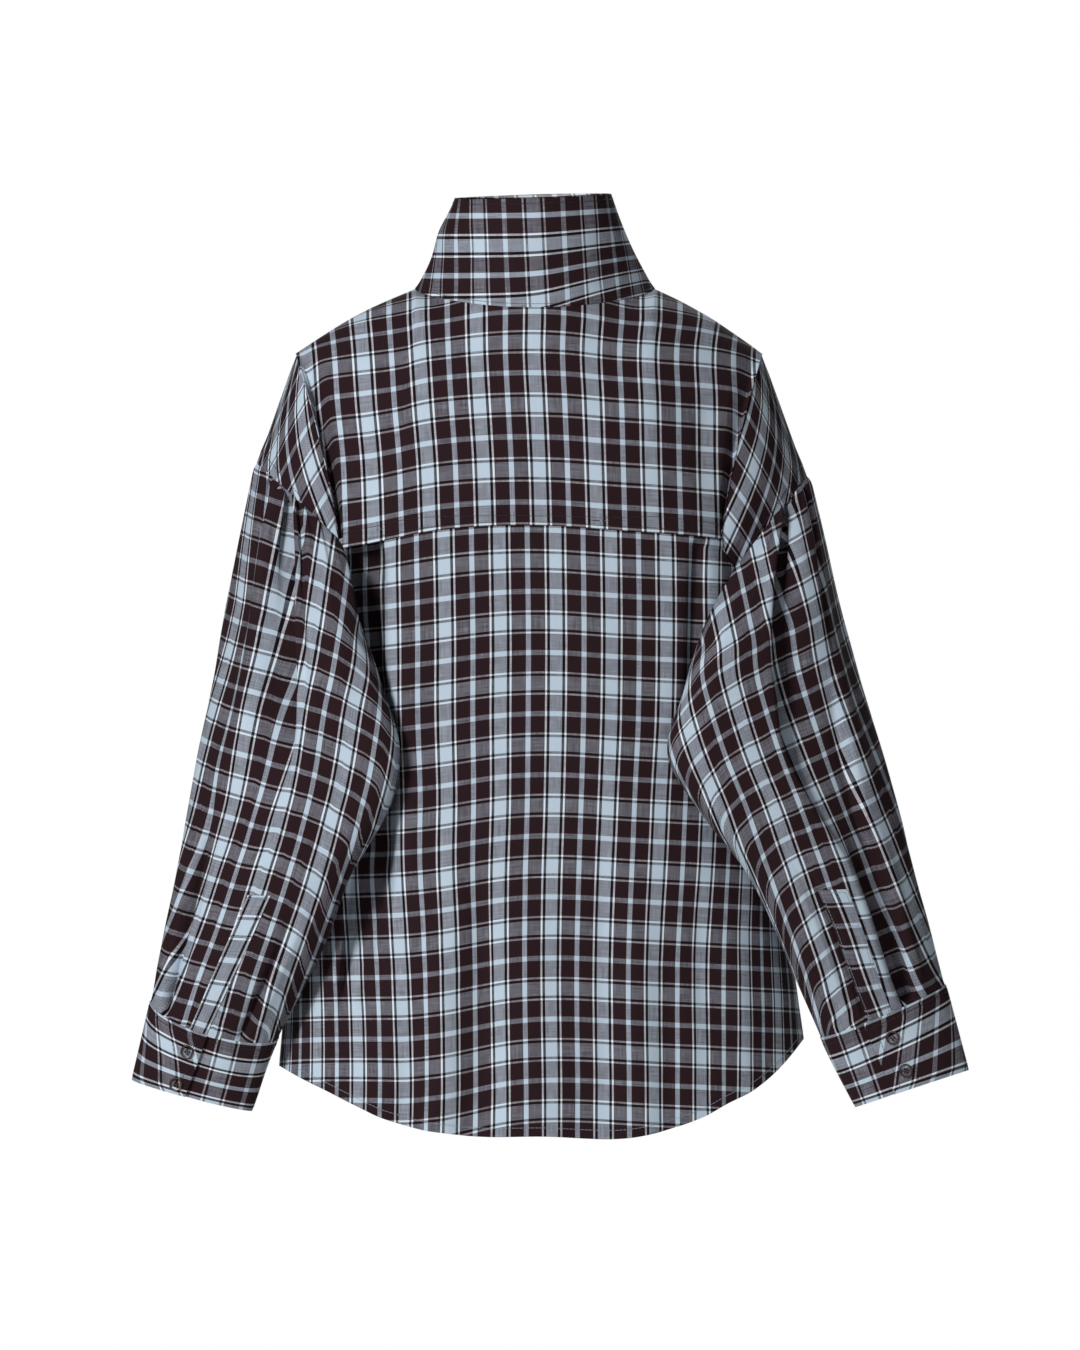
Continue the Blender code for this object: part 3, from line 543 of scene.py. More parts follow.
def clear_of_body(points, margin):
    """Points pushed out of the body's section until they lie the margin off it."""
    drop = -points[..., 2]
    x = points[..., 0] - read(TORSO, "centre", drop)
    y = points[..., 1]
    depth = np.where(y < 0, read(TORSO, "back", drop), read(TORSO, "front", drop)) + margin
    width = read(TORSO, "half_width", drop) + margin
    square = read(TORSO, "square", drop)
    size = (np.abs(x / width) ** square + np.abs(y / depth) ** square) ** (1 / square)
    push = np.where((size < 1) & (drop > CHEST_LEVEL), 1 / np.maximum(size, 0.2), 1.0)
    moved = points.copy()
    moved[..., 0] = x * push + read(TORSO, "centre", drop)
    moved[..., 1] = y * push
    return moved


print("the arms' middles, halfway down:", [arm_centre(hand, np.array(230.0)) for hand in (-1, 1)])

# %% [markdown]
# ## Tucks at the cap's seam and folds down the sleeve
# The sleeve is cut wider than the seam it joins, so its top is laid in small tucks. Each tuck
# has a soft side and a sharp one, and opens out down the sleeve. Longer folds run on from
# them, and others rise from the cuff, where the width is pleated in again.

# %% The sleeve's tucks and folds
GATHER_END = 0.02
PUFF_HEIGHT = 4.0
PUFF_START = 14.0
PUFF_REACH = 60.0
FOLD_START = 0.12
FOLD_END = 0.15
CUFF_CALM = 0.04
CUFF_CALM_SHARE = 0.15
SLEEVE_FOLDS = {
    -1: table(
        "top bottom start end width depth",
        (0.180, 0.172, 0.10, 0.60, 0.030, -3.0),
        (0.130, 0.120, 0.02, 0.60, 0.035, 5.0),
        (0.300, 0.270, 0.25, 0.80, 0.040, -4.0),
        (0.115, 0.122, 0.58, 1.00, 0.022, -6.0),
        (0.700, 0.690, 0.10, 0.60, 0.035, -5.0),
        (0.860, 0.850, 0.50, 1.00, 0.030, -5.0),
    ),
    1: table(
        "top bottom start end width depth",
        (0.165, 0.150, 0.10, 1.00, 0.030, -3.0),
        (0.115, 0.100, 0.02, 0.60, 0.030, 4.0),
        (0.310, 0.280, 0.30, 0.80, 0.040, -4.0),
        (0.160, 0.150, 0.60, 1.00, 0.022, -6.0),
        (0.690, 0.700, 0.10, 0.60, 0.035, -5.0),
        (0.850, 0.860, 0.50, 1.00, 0.030, -5.0),
    ),
}

# Tucks: the place round the seam of the sharp side, the width (its sign says to which side the
# soft side lies), how far down the sleeve the tuck reaches, and its height
TUCKS = {
    -1: table(
        "place width reach height",
        (0.030, 0.022, 45, 2.0), (0.075, -0.020, 60, 2.4), (0.118, 0.024, 50, 2.2),
        (0.165, 0.026, 75, 3.0), (0.217, 0.022, 90, 3.6), (0.243, 0.020, 55, 2.8),
        (0.277, 0.022, 70, 3.2), (0.311, 0.020, 45, 2.4), (0.960, -0.022, 50, 2.0),
        (0.915, -0.024, 60, 2.4), (0.868, -0.024, 75, 3.0), (0.822, -0.022, 60, 2.6),
        (0.780, -0.024, 85, 3.2), (0.735, -0.022, 50, 2.4),
    ),
    1: table(
        "place width reach height",
        (0.028, -0.020, 45, 2.0), (0.069, -0.026, 55, 3.4), (0.118, 0.022, 50, 2.2),
        (0.170, 0.026, 70, 2.8), (0.215, 0.022, 95, 3.4), (0.247, 0.020, 60, 3.0),
        (0.293, 0.024, 80, 3.4), (0.335, 0.022, 55, 2.8), (0.379, 0.020, 45, 2.4),
        (0.955, -0.022, 50, 2.0), (0.905, -0.024, 65, 2.4), (0.858, -0.024, 70, 3.0),
        (0.812, -0.022, 60, 2.6), (0.770, -0.024, 85, 3.2), (0.728, -0.022, 50, 2.4),
    ),
}
TUCK_SHARP = 0.16
TUCK_OPENS = 1.6
TUCK_RISE = 7.0


def tuck_height(hand, r, along):
    """How far the tucks lift the sleeve's top."""
    total = 0 * r
    for place, width, reach, height in zip(*TUCKS[hand].values()):
        aside = (r - place) / (width * (1 + TUCK_OPENS * along / reach))
        soft = np.clip(1 + aside, 0, 1) ** 1.5
        sharp = np.exp(-(np.clip(aside, 0, None) / TUCK_SHARP) ** 2)
        total = total + height * soft * sharp * np.exp(-(along / reach) ** 2) * ease(along / TUCK_RISE)
    return total


def fold_height(hand, r, s):
    """How far the long folds move the sleeve out or in."""
    total = 0 * r
    for top, bottom, begin, end, width, depth in zip(*SLEEVE_FOLDS[hand].values()):
        fade = ease((end - s) / FOLD_END) if end < 1 else 1
        strength = ease((s - begin) / FOLD_START) * fade
        total = total + depth * strength * np.exp(-((r - mix(top, bottom, s)) / width) ** 2)
    return total


def sleeve(hand, r, s):
    """The sleeve's outer face: r is the place round it, s runs from the gathers (0) to the cuff (1)."""
    r, s = np.broadcast_arrays(np.asarray(r, float), np.asarray(s, float))
    r = np.mod(r, 1.0)
    along = s * SLEEVE_LENGTH[hand]
    start = cap_seam(hand, r) - arm_ring(hand, 0 * along, r)
    point = arm_ring(hand, along, r) + start * (1 - ease(s / SHOULDER_BLEND))[..., None]
    out = point - arm_centre(hand, along)
    out /= np.linalg.norm(out, axis=-1, keepdims=True)
    behind, before = cap_ends(hand)
    from_back = ease((behind - r) / (2 * GATHER_END) + 0.5)
    from_front = ease((r - 1 + before) / (2 * GATHER_END) + 0.5)
    puff = PUFF_HEIGHT * ease(along / PUFF_START) * np.exp(-along / PUFF_REACH)
    swell = (from_back + from_front) * (tuck_height(hand, r, along) + puff) + fold_height(hand, r, s)
    point = point + out * (swell * ease((1 - s) / CUFF_CALM + CUFF_CALM_SHARE))[..., None]
    return clear_of_body(point, mix(SEAM_CLEARANCE, SLEEVE_CLEARANCE, ease(along / CLEARANCE_REACH)))


print("tucks in the left and the right sleeve:", [len(TUCKS[hand]["place"]) for hand in (-1, 1)])

# %% The cuffs' form
# The cuff's lap, as places round the sleeve (0 at its outer side, 0.25 at its back): where the
# over end lies, how far the under end reaches below it, over what width the over end is lifted,
# and how far it lies level before the under end begins
CUFF_LAP = {-1: 0.210, 1: 0.265}
CUFF_LAP_REACH = 0.09
CUFF_LAP_RISE = 0.08
CUFF_LAP_LEVEL = 0.01


def cuff(hand, r, v):
    """The cuff's outer face: r passes its lap once more than the sleeve, v runs down to its edge."""
    r, v = np.broadcast_arrays(np.asarray(r, float), np.asarray(v, float))
    along = mix(SLEEVE_LENGTH[hand], CUFF_END[hand], v)
    point = arm_ring(hand, along, np.mod(r, 1.0))
    out = point - arm_centre(hand, along)
    out /= np.linalg.norm(out, axis=-1, keepdims=True)
    lifted = 1 + CUFF_LAP[hand] - CUFF_LAP_REACH - CUFF_LAP_LEVEL
    lap = LAP_LIFT * ease((r - lifted) / CUFF_LAP_RISE + 1)
    return point + out * lap[..., None]


print("the left cuff's edge, at its outer side:", cuff(-1, np.zeros(1), np.ones(1))[0])

# %% [markdown]
# ## Small creases
# Worn cotton shows shallow troughs and ridges that start and stop by themselves. They are
# listed one by one: each row of a table gives a crease's two ends in millimetres on its piece,
# how far it bows to one side, its width and its depth, which is negative for a trough. A faint
# waviness is added everywhere, because woven cloth is never quite even.

# %% Creases from a table
CREASE_COLUMNS = "a1 b1 a2 b2 bow width depth"
# The share of a crease over which it fades at each end
CREASE_FADE = 0.35
# The waviness: how far its slow and its quick waves move the cloth
SLOW_WAVE, QUICK_WAVE = 0.55, 0.16


def beside(line, across, down):
    """How far places lie to the side of a bowed line, and the line's strength there: it fades at
    both ends."""
    a1, b1, a2, b2, bow = line
    run = math.hypot(a2 - a1, b2 - b1)
    along = ((across - a1) * (a2 - a1) + (down - b1) * (b2 - b1)) / run ** 2
    inside = np.clip(along, 0, 1)
    aside = ((across - a1) * (b2 - b1) - (down - b1) * (a2 - a1)) / run - 4 * bow * inside * (1 - inside)
    return aside, ease(along / CREASE_FADE) * ease((1 - along) / CREASE_FADE)


def creases(marks, across, down):
    """How far the marked creases move the cloth, at places in millimetres across and down a piece."""
    total = 0 * across
    for *line, width, depth in zip(*marks.values()):
        aside, fade = beside(line, across, down)
        total = total + depth * fade * np.exp(-(aside / width) ** 2)
    return total


def pleats(marks, across, down, edge):
    """Like creases, but soft on one side and sharp on the other, as where cloth folds over itself.

    The soft side lies before the line, or past it where the width is negative. The sharp side is
    as wide as the edge."""
    total = 0 * across
    for *line, width, depth in zip(*marks.values()):
        aside, fade = beside(line, across, down)
        soft = -aside / width
        form = np.where(soft > 0, np.clip(1 - soft, 0, 1) ** 1.5, np.exp(-(aside / edge) ** 2))
        total = total + depth * fade * form
    return total


def waviness(across, down):
    """The faint unevenness of a length of woven cloth."""
    slow = np.sin(across / 31 + 1.3 * np.sin(down / 57)) * np.sin(down / 43 + 0.9 * np.sin(across / 38))
    quick = np.sin(across / 11 + 1.7 * np.sin(down / 23) + down / 37) * np.sin(down / 17 + across / 29)
    return SLOW_WAVE * slow + QUICK_WAVE * quick


sample = table(CREASE_COLUMNS, (0, 0, 0, 100, 0, 8, -1))
print("a crease 1 mm deep, at its middle:", creases(sample, np.array([0.0]), np.array([50.0])))

# %% [markdown]
# ## Yarn-dyed cotton check
# The cloth is a plain cotton weave. Each set repeats a wide light blue band, edged in black
# and white, and a narrow one, on maroon. Where two colours cross, the eye sees a blend in
# which the warp counts for more. The blend is made on gamma-coded values, because that is how
# the crossings look. Each piece carries its own place in the cloth as a UV map in metres, so
# the stripes bend with the cloth.

# %% Colours and nodes
def colour(hex_code):
    """An sRGB hex colour as linear RGBA."""
    parts = [int(hex_code[i:i + 2], 16) / 255 for i in (1, 3, 5)]
    return (*(c / 12.92 if c <= 0.04045 else ((c + 0.055) / 1.055) ** 2.4 for c in parts), 1.0)


def add_node(tree, kind, settings=None, **links):
    """A node of a kind, with settings for its own values and a link or value for each named input."""
    node = tree.nodes.new(kind)
    for name, value in (settings or {}).items():
        setattr(node, name, value)
    for name, value in links.items():
        key = int(name[1:]) if name[1:].isdigit() else name.replace("_", " ")
        if isinstance(value, bpy.types.NodeSocket):
            tree.links.new(value, node.inputs[key])
        else:
            node.inputs[key].default_value = value
    return node


def new_material(name, roughness):
    """An empty material with a Principled shader, and its node tree."""
    material = bpy.data.materials.new(name)
    material.use_nodes = True
    tree = material.node_tree
    shader = tree.nodes["Principled BSDF"]
    shader.inputs["Roughness"].default_value = roughness
    return material, tree, shader


print("a middle grey as linear light:", colour("#808080"))

# %% The stripes of one repeat
YARNS = {"blue": "#B3C2D0", "black": "#08050A", "white": "#E4EBF2", "maroon": "#26171B"}
# One set's stripes from the middle of its wide band to the middle of the next, in millimetres
WARP_STRIPES = (("blue", 5.3), ("black", 2.4), ("white", 1.7), ("maroon", 12.1), ("blue", 4.2),
                ("maroon", 12.1), ("white", 1.7), ("black", 2.4), ("blue", 5.3))
WEFT_STRIPES = (("blue", 6.15), ("black", 2.4), ("white", 1.7), ("maroon", 14.4), ("blue", 4.4),
                ("maroon", 14.4), ("white", 1.7), ("black", 2.4), ("blue", 6.15))
WARP_REPEAT = sum(width for _, width in WARP_STRIPES)
WEFT_REPEAT = sum(width for _, width in WEFT_STRIPES)


def striped(tree, place, stripes):
    """The colour of one set of yarns at a place in metres across its stripes."""
    repeat = sum(width for _, width in stripes)
    turns = add_node(tree, "ShaderNodeMath", {"operation": "DIVIDE"}, _0=place, _1=repeat * MM)
    within = add_node(tree, "ShaderNodeMath", {"operation": "FRACT"}, _0=turns.outputs[0])
    ramp = add_node(tree, "ShaderNodeValToRGB", Fac=within.outputs[0]).color_ramp
    ramp.interpolation = "CONSTANT"
    start = 0.0
    for number, (yarn, width) in enumerate(stripes):
        stop = ramp.elements[0] if number == 0 else ramp.elements.new(start / repeat)
        stop.position = start / repeat
        stop.color = colour(YARNS[yarn])
        start += width
    ramp.elements.remove(ramp.elements[-1])
    return tree.nodes[-1].outputs["Color"]


print("repeats in mm, warp and weft:", round(WARP_REPEAT, 1), round(WEFT_REPEAT, 1))

# %% [markdown]
# ## Weave, slubs and finish
# A shirting has about 30 threads to the centimetre, too fine to show here, so the threads are
# drawn three times as coarse. Warp and weft threads pass over each other in turn, which
# flickers the blend a little, and slubs make some threads lighter. Cotton is matt, with a
# faint sheen from its loose fibres.

# %% The cloth's material
WARP_SHARE = 0.61
# The threads' width in millimetres as drawn, how much they and the slubs change the blend, and
# how much stronger the slubs are in the relief
THREAD = 1.0
FLICKER, SLUB, SLUB_RELIEF = 0.10, 0.5, 1.5
# Slubs per metre along and across the thread
SLUB_ALONG, SLUB_ACROSS = 45.0, 900.0
THREAD_HEIGHT = 0.0002
GAMMA = 2.2

cotton, tree, shader = new_material("yarn_dyed_cotton_check", 0.85)
shader.inputs["Sheen Weight"].default_value = 0.02
shader.inputs["Sheen Roughness"].default_value = 0.5
shader.inputs["Specular IOR Level"].default_value = 0.08
place = add_node(tree, "ShaderNodeUVMap", {"uv_map": "check"}).outputs["UV"]
parts = add_node(tree, "ShaderNodeSeparateXYZ", Vector=place)
warp_colour = striped(tree, parts.outputs["X"], WARP_STRIPES)
weft_colour = striped(tree, parts.outputs["Y"], WEFT_STRIPES)
coded_warp = add_node(tree, "ShaderNodeGamma", Color=warp_colour, Gamma=1 / GAMMA).outputs[0]
coded_weft = add_node(tree, "ShaderNodeGamma", Color=weft_colour, Gamma=1 / GAMMA).outputs[0]

# Threads that pass over each other: two waves across the cloth, multiplied
waves = []
for axis in "XY":
    turns = add_node(tree, "ShaderNodeMath", {"operation": "MULTIPLY"},
                     _0=parts.outputs[axis], _1=math.pi / (THREAD * MM)).outputs[0]
    waves.append(add_node(tree, "ShaderNodeMath", {"operation": "SINE"}, _0=turns).outputs[0])
weave = add_node(tree, "ShaderNodeMath", {"operation": "MULTIPLY"}, _0=waves[0], _1=waves[1]).outputs[0]

# Slubs: noise drawn out along the warp, and along the weft
slubs = []
for scale in ((SLUB_ACROSS, SLUB_ALONG, 1.0), (SLUB_ALONG, SLUB_ACROSS, 1.0)):
    drawn = add_node(tree, "ShaderNodeMapping", Vector=place, Scale=scale).outputs[0]
    slubs.append(add_node(tree, "ShaderNodeTexNoise", Vector=drawn, Scale=1.0, Detail=2.0).outputs["Fac"])
uneven = add_node(tree, "ShaderNodeMath", {"operation": "SUBTRACT"}, _0=slubs[0], _1=slubs[1]).outputs[0]
flicker = add_node(tree, "ShaderNodeMath", {"operation": "MULTIPLY_ADD"},
                   _0=weave, _1=FLICKER, _2=WARP_SHARE).outputs[0]
share = add_node(tree, "ShaderNodeMath", {"operation": "MULTIPLY_ADD", "use_clamp": True},
                 _0=uneven, _1=SLUB, _2=flicker).outputs[0]
blend = add_node(tree, "ShaderNodeMix", {"data_type": "RGBA"}, _0=share, _6=coded_weft, _7=coded_warp)
dyed = add_node(tree, "ShaderNodeGamma", Color=blend.outputs[2], Gamma=GAMMA).outputs[0]
tree.links.new(dyed, shader.inputs["Base Color"])
relief = add_node(tree, "ShaderNodeMath", {"operation": "MULTIPLY_ADD"},
                  _0=uneven, _1=SLUB_RELIEF, _2=weave).outputs[0]
bump = add_node(tree, "ShaderNodeBump", Strength=0.35, Distance=THREAD_HEIGHT, Height=relief)
tree.links.new(bump.outputs[0], shader.inputs["Normal"])
print("cloth material nodes:", len(tree.nodes))

# %% [markdown]
# ## From a face to a piece of cloth
# Each piece starts as a flat grid, whose points are then laid on its face. A narrow step inside
# each edge keeps the edge crisp. The UV map is written before a tube's two edges are merged,
# so the check may break at that seam, as it does on a real sleeve. A Solidify modifier gives
# the cloth its thickness on the inner side. Every chart, which gives the place in the cloth, and
# every relief takes the same three things: the two places on the face, and the points there.

# %% Making a piece
CLOTH = 0.6
EDGE_STEP = 0.12


def steps(first, last, count):
    """Even steps across a piece, with one narrow step inside each edge."""
    even = np.linspace(first, last, count + 1)
    narrow = (even[1] - even[0]) * EDGE_STEP
    return np.concatenate([[first, first + narrow], even[1:-1], [last - narrow, last]])


def spans(points, axis):
    """The length from the first point of each column (axis 0) or row (axis 1) to each of its points."""
    lengths = np.linalg.norm(np.diff(points, axis=axis), axis=-1)
    start = np.zeros_like(np.take(lengths, [0], axis=axis))
    return np.concatenate([start, np.cumsum(lengths, axis=axis)], axis=axis)


def placed(name, bm, *materials):
    """A finished bmesh as an object of that name, in the scene."""
    mesh = bpy.data.meshes.new(name)
    bm.to_mesh(mesh)
    bm.free()
    for material in materials:
        mesh.materials.append(material)
    piece = bpy.data.objects.new(name, mesh)
    bpy.context.scene.collection.objects.link(piece)
    return piece


def ride(piece, node):
    """A piece that moves with the shirt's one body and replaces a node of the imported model."""
    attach(piece, "root")
    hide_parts(node)


def sew(name, node, face, across, down, outward, chart, thickness=CLOTH, closed=False):
    """A piece of cloth: a fine grid on a face, with its place in the check as a UV map."""
    columns, rows = len(across) - 1, len(down) - 1
    u, v = np.meshgrid(across, down)
    points = face(u, v)
    warp, weft = chart(u, v, points)
    bm = bmesh.new()
    bmesh.ops.create_grid(bm, x_segments=columns, y_segments=rows, size=0.5)
    if outward < 0:
        bmesh.ops.reverse_faces(bm, faces=bm.faces)
    check = bm.loops.layers.uv.new("check")
    for vert in bm.verts:
        column = round((vert.co.x + 0.5) * columns)
        row = round((vert.co.y + 0.5) * rows)
        vert.co = Vector(points[row, column]) * MM
        for loop in vert.link_loops:
            loop[check].uv = warp[row, column] * MM, weft[row, column] * MM
    if closed:
        bmesh.ops.remove_doubles(bm, verts=bm.verts, dist=1e-6)
    area = sum(polygon.calc_area() for polygon in bm.faces)
    piece = placed(name, bm, cotton)
    piece.data.shade_smooth()
    wall = piece.modifiers.new("thickness", "SOLIDIFY")
    wall.thickness = thickness * MM
    wall.offset = -1
    ride(piece, node)
    print(f"{name}: {columns * rows} faces, {area:.4f} square metres")


def creased(face, outward, relief):
    """A face with a relief laid on it, as a face again."""
    def with_relief(u, v):
        point = face(u, v)
        return point + normals(face, u, v) * outward * relief(u, v, point)[..., None]
    return with_relief


# %% [markdown]
# ## The back: a deep yoke over a panel
# The yoke runs over both shoulders down to a seam across the shoulder blades. Its lower edge
# lies on the panel, which hangs straight from it to a curved shirt-tail hem. The warp hangs
# upright on both, and the two are cut from different places in the cloth, so their bands don't
# meet at the seam.

# %% Creases of the back
YOKE_CREASES = table(
    CREASE_COLUMNS,
    (-150, 70, -138, 205, 5, 9, -1.6), (150, 70, 146, 200, -5, 9, -1.6),
    (-95, 40, -120, 170, 6, 16, 1.0), (98, 40, 112, 165, -6, 16, 1.0),
    (-40, 60, -52, 190, 3, 18, -0.8), (30, 50, 42, 185, 4, 20, 0.8),
    (-130, 110, -60, 150, 5, 14, -0.6), (125, 110, 70, 160, -5, 14, -0.6),
)
PANEL_CREASES = table(
    CREASE_COLUMNS,
    (-112, 190, -100, 620, 0, 10, 2.5), (143, 150, 131, 420, 0, 7, -6.0), (126, 180, 112, 420, 0, 12, 1.5),
    (-62, 420, -36, 800, 8, 11, -4.5), (-86, 520, -80, 800, 5, 14, 3.0), (-8, 470, 12, 800, -5, 15, 2.5),
    (50, 400, 60, 800, 5, 12, -4.0), (92, 460, 96, 800, -5, 14, 2.5), (134, 470, 150, 800, 5, 10, -3.5),
    (-118, 560, -132, 760, 4, 13, 3.0), (160, 500, 182, 740, 5, 12, 2.5),
    (10, 240, 2, 420, 4, 14, 0.8), (-40, 230, -52, 360, -4, 12, -0.8), (72, 235, 84, 380, 4, 12, -0.8),
)
# A deep hollow beside the left arm: its right and left side and its depth at each drop
HOLLOW = table(
    "drop right left depth",
    (200, -128, -162, 0), (222, -126, -162, 29), (330, -122, -150, 33), (380, -114, -146, 30),
    (430, -116, -150, 32), (500, -118, -158, 30), (560, -134, -166, 24), (620, -150, -172, 0),
)
HOLLOW_EDGE = 7.0
# The yoke stands a little proud at its lower edge, which overlaps the panel's top
YOKE_EDGE_LIFT = 0.9
YOKE_EDGE_REACH = 0.06
UNDER_YOKE = -0.03
SEAM_DIP = 0.45
SEAM_DIP_WIDTH = 0.012
# The grooves beside the armholes: the widths of the steep side and of the whole groove, and how
# far from the shoulder and from the yoke's seam they reach their full depth, as shares of the yoke
GROOVE_EDGE, GROOVE_WIDTH = 0.012, 0.13
GROOVE_TOP, GROOVE_FOOT = 0.5, 0.04
GROOVE_DEPTHS = {-1: 15.0, 1: 8.0}
PANEL_CALM = 0.05


def hollow(point):
    """How far the panel is drawn in beside the left arm, between a steep right side and the arm."""
    x, drop = point[..., 0], -point[..., 2]
    right = read(HOLLOW, "right", drop)
    left = read(HOLLOW, "left", drop)
    steep = ease((right - x) / HOLLOW_EDGE) * ease((x - left) / HOLLOW_EDGE)
    return read(HOLLOW, "depth", drop) * steep


def hollowed_back(u, v):
    """The back with that hollow."""
    point = back(u, v)
    return point + stack(0.0, hollow(point), 0.0)


def side_dip(u):
    """The seams along both sides draw the cloth in a little."""
    return -SEAM_DIP * np.exp(-((1 - np.abs(u)) / SEAM_DIP_WIDTH) ** 2)


def grooved_back(u, v):
    """The back with a groove beside each armhole, where the sleeve's weight draws the yoke in."""
    point = back(u, v)
    inside = 1 - np.abs(u)
    groove = ease(inside / GROOVE_EDGE) * ease((GROOVE_WIDTH - inside) / (GROOVE_WIDTH - GROOVE_EDGE))
    depth = np.where(u < 0, GROOVE_DEPTHS[-1], GROOVE_DEPTHS[1])
    depth = depth * ease((v + 1) / GROOVE_TOP) * ease(-v / GROOVE_FOOT)
    return point + stack(0.0, depth * groove, 0.0)


def yoke_relief(u, v, point):
    x, drop = point[..., 0], -point[..., 2]
    edge = YOKE_EDGE_LIFT * ease(1 + v / YOKE_EDGE_REACH)
    return creases(YOKE_CREASES, x, drop) + waviness(x, drop) + edge


def panel_relief(u, v, point):
    x, drop = point[..., 0], -point[..., 2]
    folds = creases(PANEL_CREASES, x, drop) + waviness(x, drop)
    return (folds + side_dip(u)) * ease(v / PANEL_CALM)


yoke_cloth = creased(grooved_back, BACK_OUTWARD, yoke_relief)
panel_cloth = creased(hollowed_back, BACK_OUTWARD, panel_relief)
print("the hollow's depth beside the left elbow:", hollow(np.array([-135.0, 0.0, -400.0])), "mm")

YOKE_BANDS = table(
    "drop line apart",
    (20, -0.5, 49.5), (45, -1.0, 48.6), (90, 1.0, 48.3), (140, 3.4, 47.6), (200, 5.2, 47.5),
)
PANEL_BANDS = table(
    "drop line apart",
    (200, 17.0, 47.5), (293, 18.0, 47.3), (361, 17.6, 47.1), (429, 16.3, 45.8),
    (497, 14.3, 45.4), (565, 13.3, 44.6), (676, 14.5, 44.4),
)
# The first wide weft band above and below the yoke's seam, and the bands' spacing there
YOKE_WEFT, YOKE_WEFT_APART = 47.5, 55.7
PANEL_WEFT, PANEL_WEFT_APART = 29.8, 51.9
# The bands droop towards the hem beside the left arm
DROOP = 13.0
DROOP_PLACE, DROOP_WIDTH = -90.0, 60.0


def from_line(points, line):
    """The length along each row from where it crosses an upright line."""
    along = spans(points, 1)
    crossing = [np.interp(place, xs, row) for place, xs, row in zip(line, points[..., 0], along)]
    return along - np.array(crossing)[:, None]


def yoke_chart(u, v, points):
    drop = -points[..., 2]
    warp = (points[..., 0] - read(YOKE_BANDS, "line", drop)) / read(YOKE_BANDS, "apart", drop)
    down = spans(points, 0)
    weft = (down[-1:] - down - YOKE_WEFT) / YOKE_WEFT_APART
    return warp * WARP_REPEAT, weft * WEFT_REPEAT


def panel_chart(u, v, points):
    drop = -points[..., 2]
    middle = drop[:, drop.shape[1] // 2]
    flat = points - stack(0.0, hollow(points), 0.0)
    apart = read(PANEL_BANDS, "apart", middle)[:, None]
    warp = from_line(flat, read(PANEL_BANDS, "line", middle)) / apart
    droop = DROOP * np.clip(v, 0, 1) * np.exp(-((points[..., 0] - DROOP_PLACE) / DROOP_WIDTH) ** 2)
    weft = (drop - chest_drop(-1, u) - PANEL_WEFT - droop) / PANEL_WEFT_APART
    return warp * WARP_REPEAT, weft * WEFT_REPEAT


# %% Cutting the back
YOKE_GRID = (130, 62)
PANEL_GRID = (150, 135)
sew("yoke", "back_yoke", yoke_cloth, steps(-1, 1, YOKE_GRID[0]), steps(-1, 0, YOKE_GRID[1]),
    BACK_OUTWARD, yoke_chart)
sew("back", "back_panel", panel_cloth, steps(-1, 1, PANEL_GRID[0]), steps(UNDER_YOKE, 1, PANEL_GRID[1]),
    BACK_OUTWARD, panel_chart)

# %% [markdown]
# ## The fronts
# Nothing of the front shows in the photograph but the collar's far edge, so the two fronts are
# finished plainly, with like folds and creases. Below the chest their level bands meet across
# the lap, as a careful maker would match them.

# %% Creases and check of the fronts
FRONT_CREASES = table(
    CREASE_COLUMNS,
    (-150, 80, -130, 210, 5, 10, -1.6), (146, 80, 132, 205, -5, 10, -1.6),
    (-90, 60, -110, 230, 8, 16, 1.0), (88, 50, 100, 240, -8, 16, 1.0),
    (-130, 230, -110, 430, 6, 10, -2.0), (135, 230, 118, 420, -6, 10, -1.8),
    (-70, 400, -78, 690, 6, 12, -1.8), (60, 380, 72, 690, -5, 13, -1.8),
    (20, 420, 26, 680, 4, 12, 1.4), (110, 450, 128, 680, 5, 11, 1.5), (-120, 460, -140, 670, 4, 11, 1.5),
    (30, 120, 60, 200, 6, 14, -0.8), (-60, 120, -90, 190, -5, 14, -0.8),
)
# The bands' spacing in the warp and the weft, and where a wide band of the warp hangs
FRONT_WARP_APART = 47.2
FRONT_WEFT_APART = 53.0
FRONT_PLACE = 12.0


def front_relief(u, v, point):
    x, drop = point[..., 0], -point[..., 2]
    return creases(FRONT_CREASES, x, drop) + waviness(x, drop) + side_dip(u)


def front_chart(u, v, points):
    if points[0, 0, 0] < FRONT_PLACE < points[0, -1, 0]:
        level = from_line(points, np.full(len(points), FRONT_PLACE))
    else:
        level = spans(points, 1) + points[:, :1, 0] - FRONT_PLACE
    x = points[..., 0] - FRONT_PLACE
    warp = mix(x, level, ease(1 + v)) / FRONT_WARP_APART
    down = spans(points, 0)
    chest = np.abs(v[:, 0]).argmin()
    weft = np.where(v < 0, down - down[chest], -points[..., 2] - FRONT_CHEST_DROP) / FRONT_WEFT_APART
    return warp * WARP_REPEAT, weft * WEFT_REPEAT


over_cloth = creased(front_over, FRONT_OUTWARD, front_relief)
under_cloth = creased(front, FRONT_OUTWARD, front_relief)

# %% Cutting the fronts
OVER_COLUMNS, UNDER_COLUMNS, FRONT_ROWS = 92, 54, 190
from_shoulder = steps(-1, 1, FRONT_ROWS)
sew("right_front", "front_over", over_cloth, steps(OVER_EDGE, 1, OVER_COLUMNS), from_shoulder,
    FRONT_OUTWARD, front_chart)
sew("left_front", "front_under", under_cloth, steps(-1, UNDER_EDGE, UNDER_COLUMNS), from_shoulder,
    FRONT_OUTWARD, front_chart)

# %% [markdown]
# ## The collar
# The collar is cut in one piece with its warp running round the neck, so its stronger stripes
# lie level. It is two layers thick. At the back the stripes dip a little towards the right,
# where the funnel is pulled down.

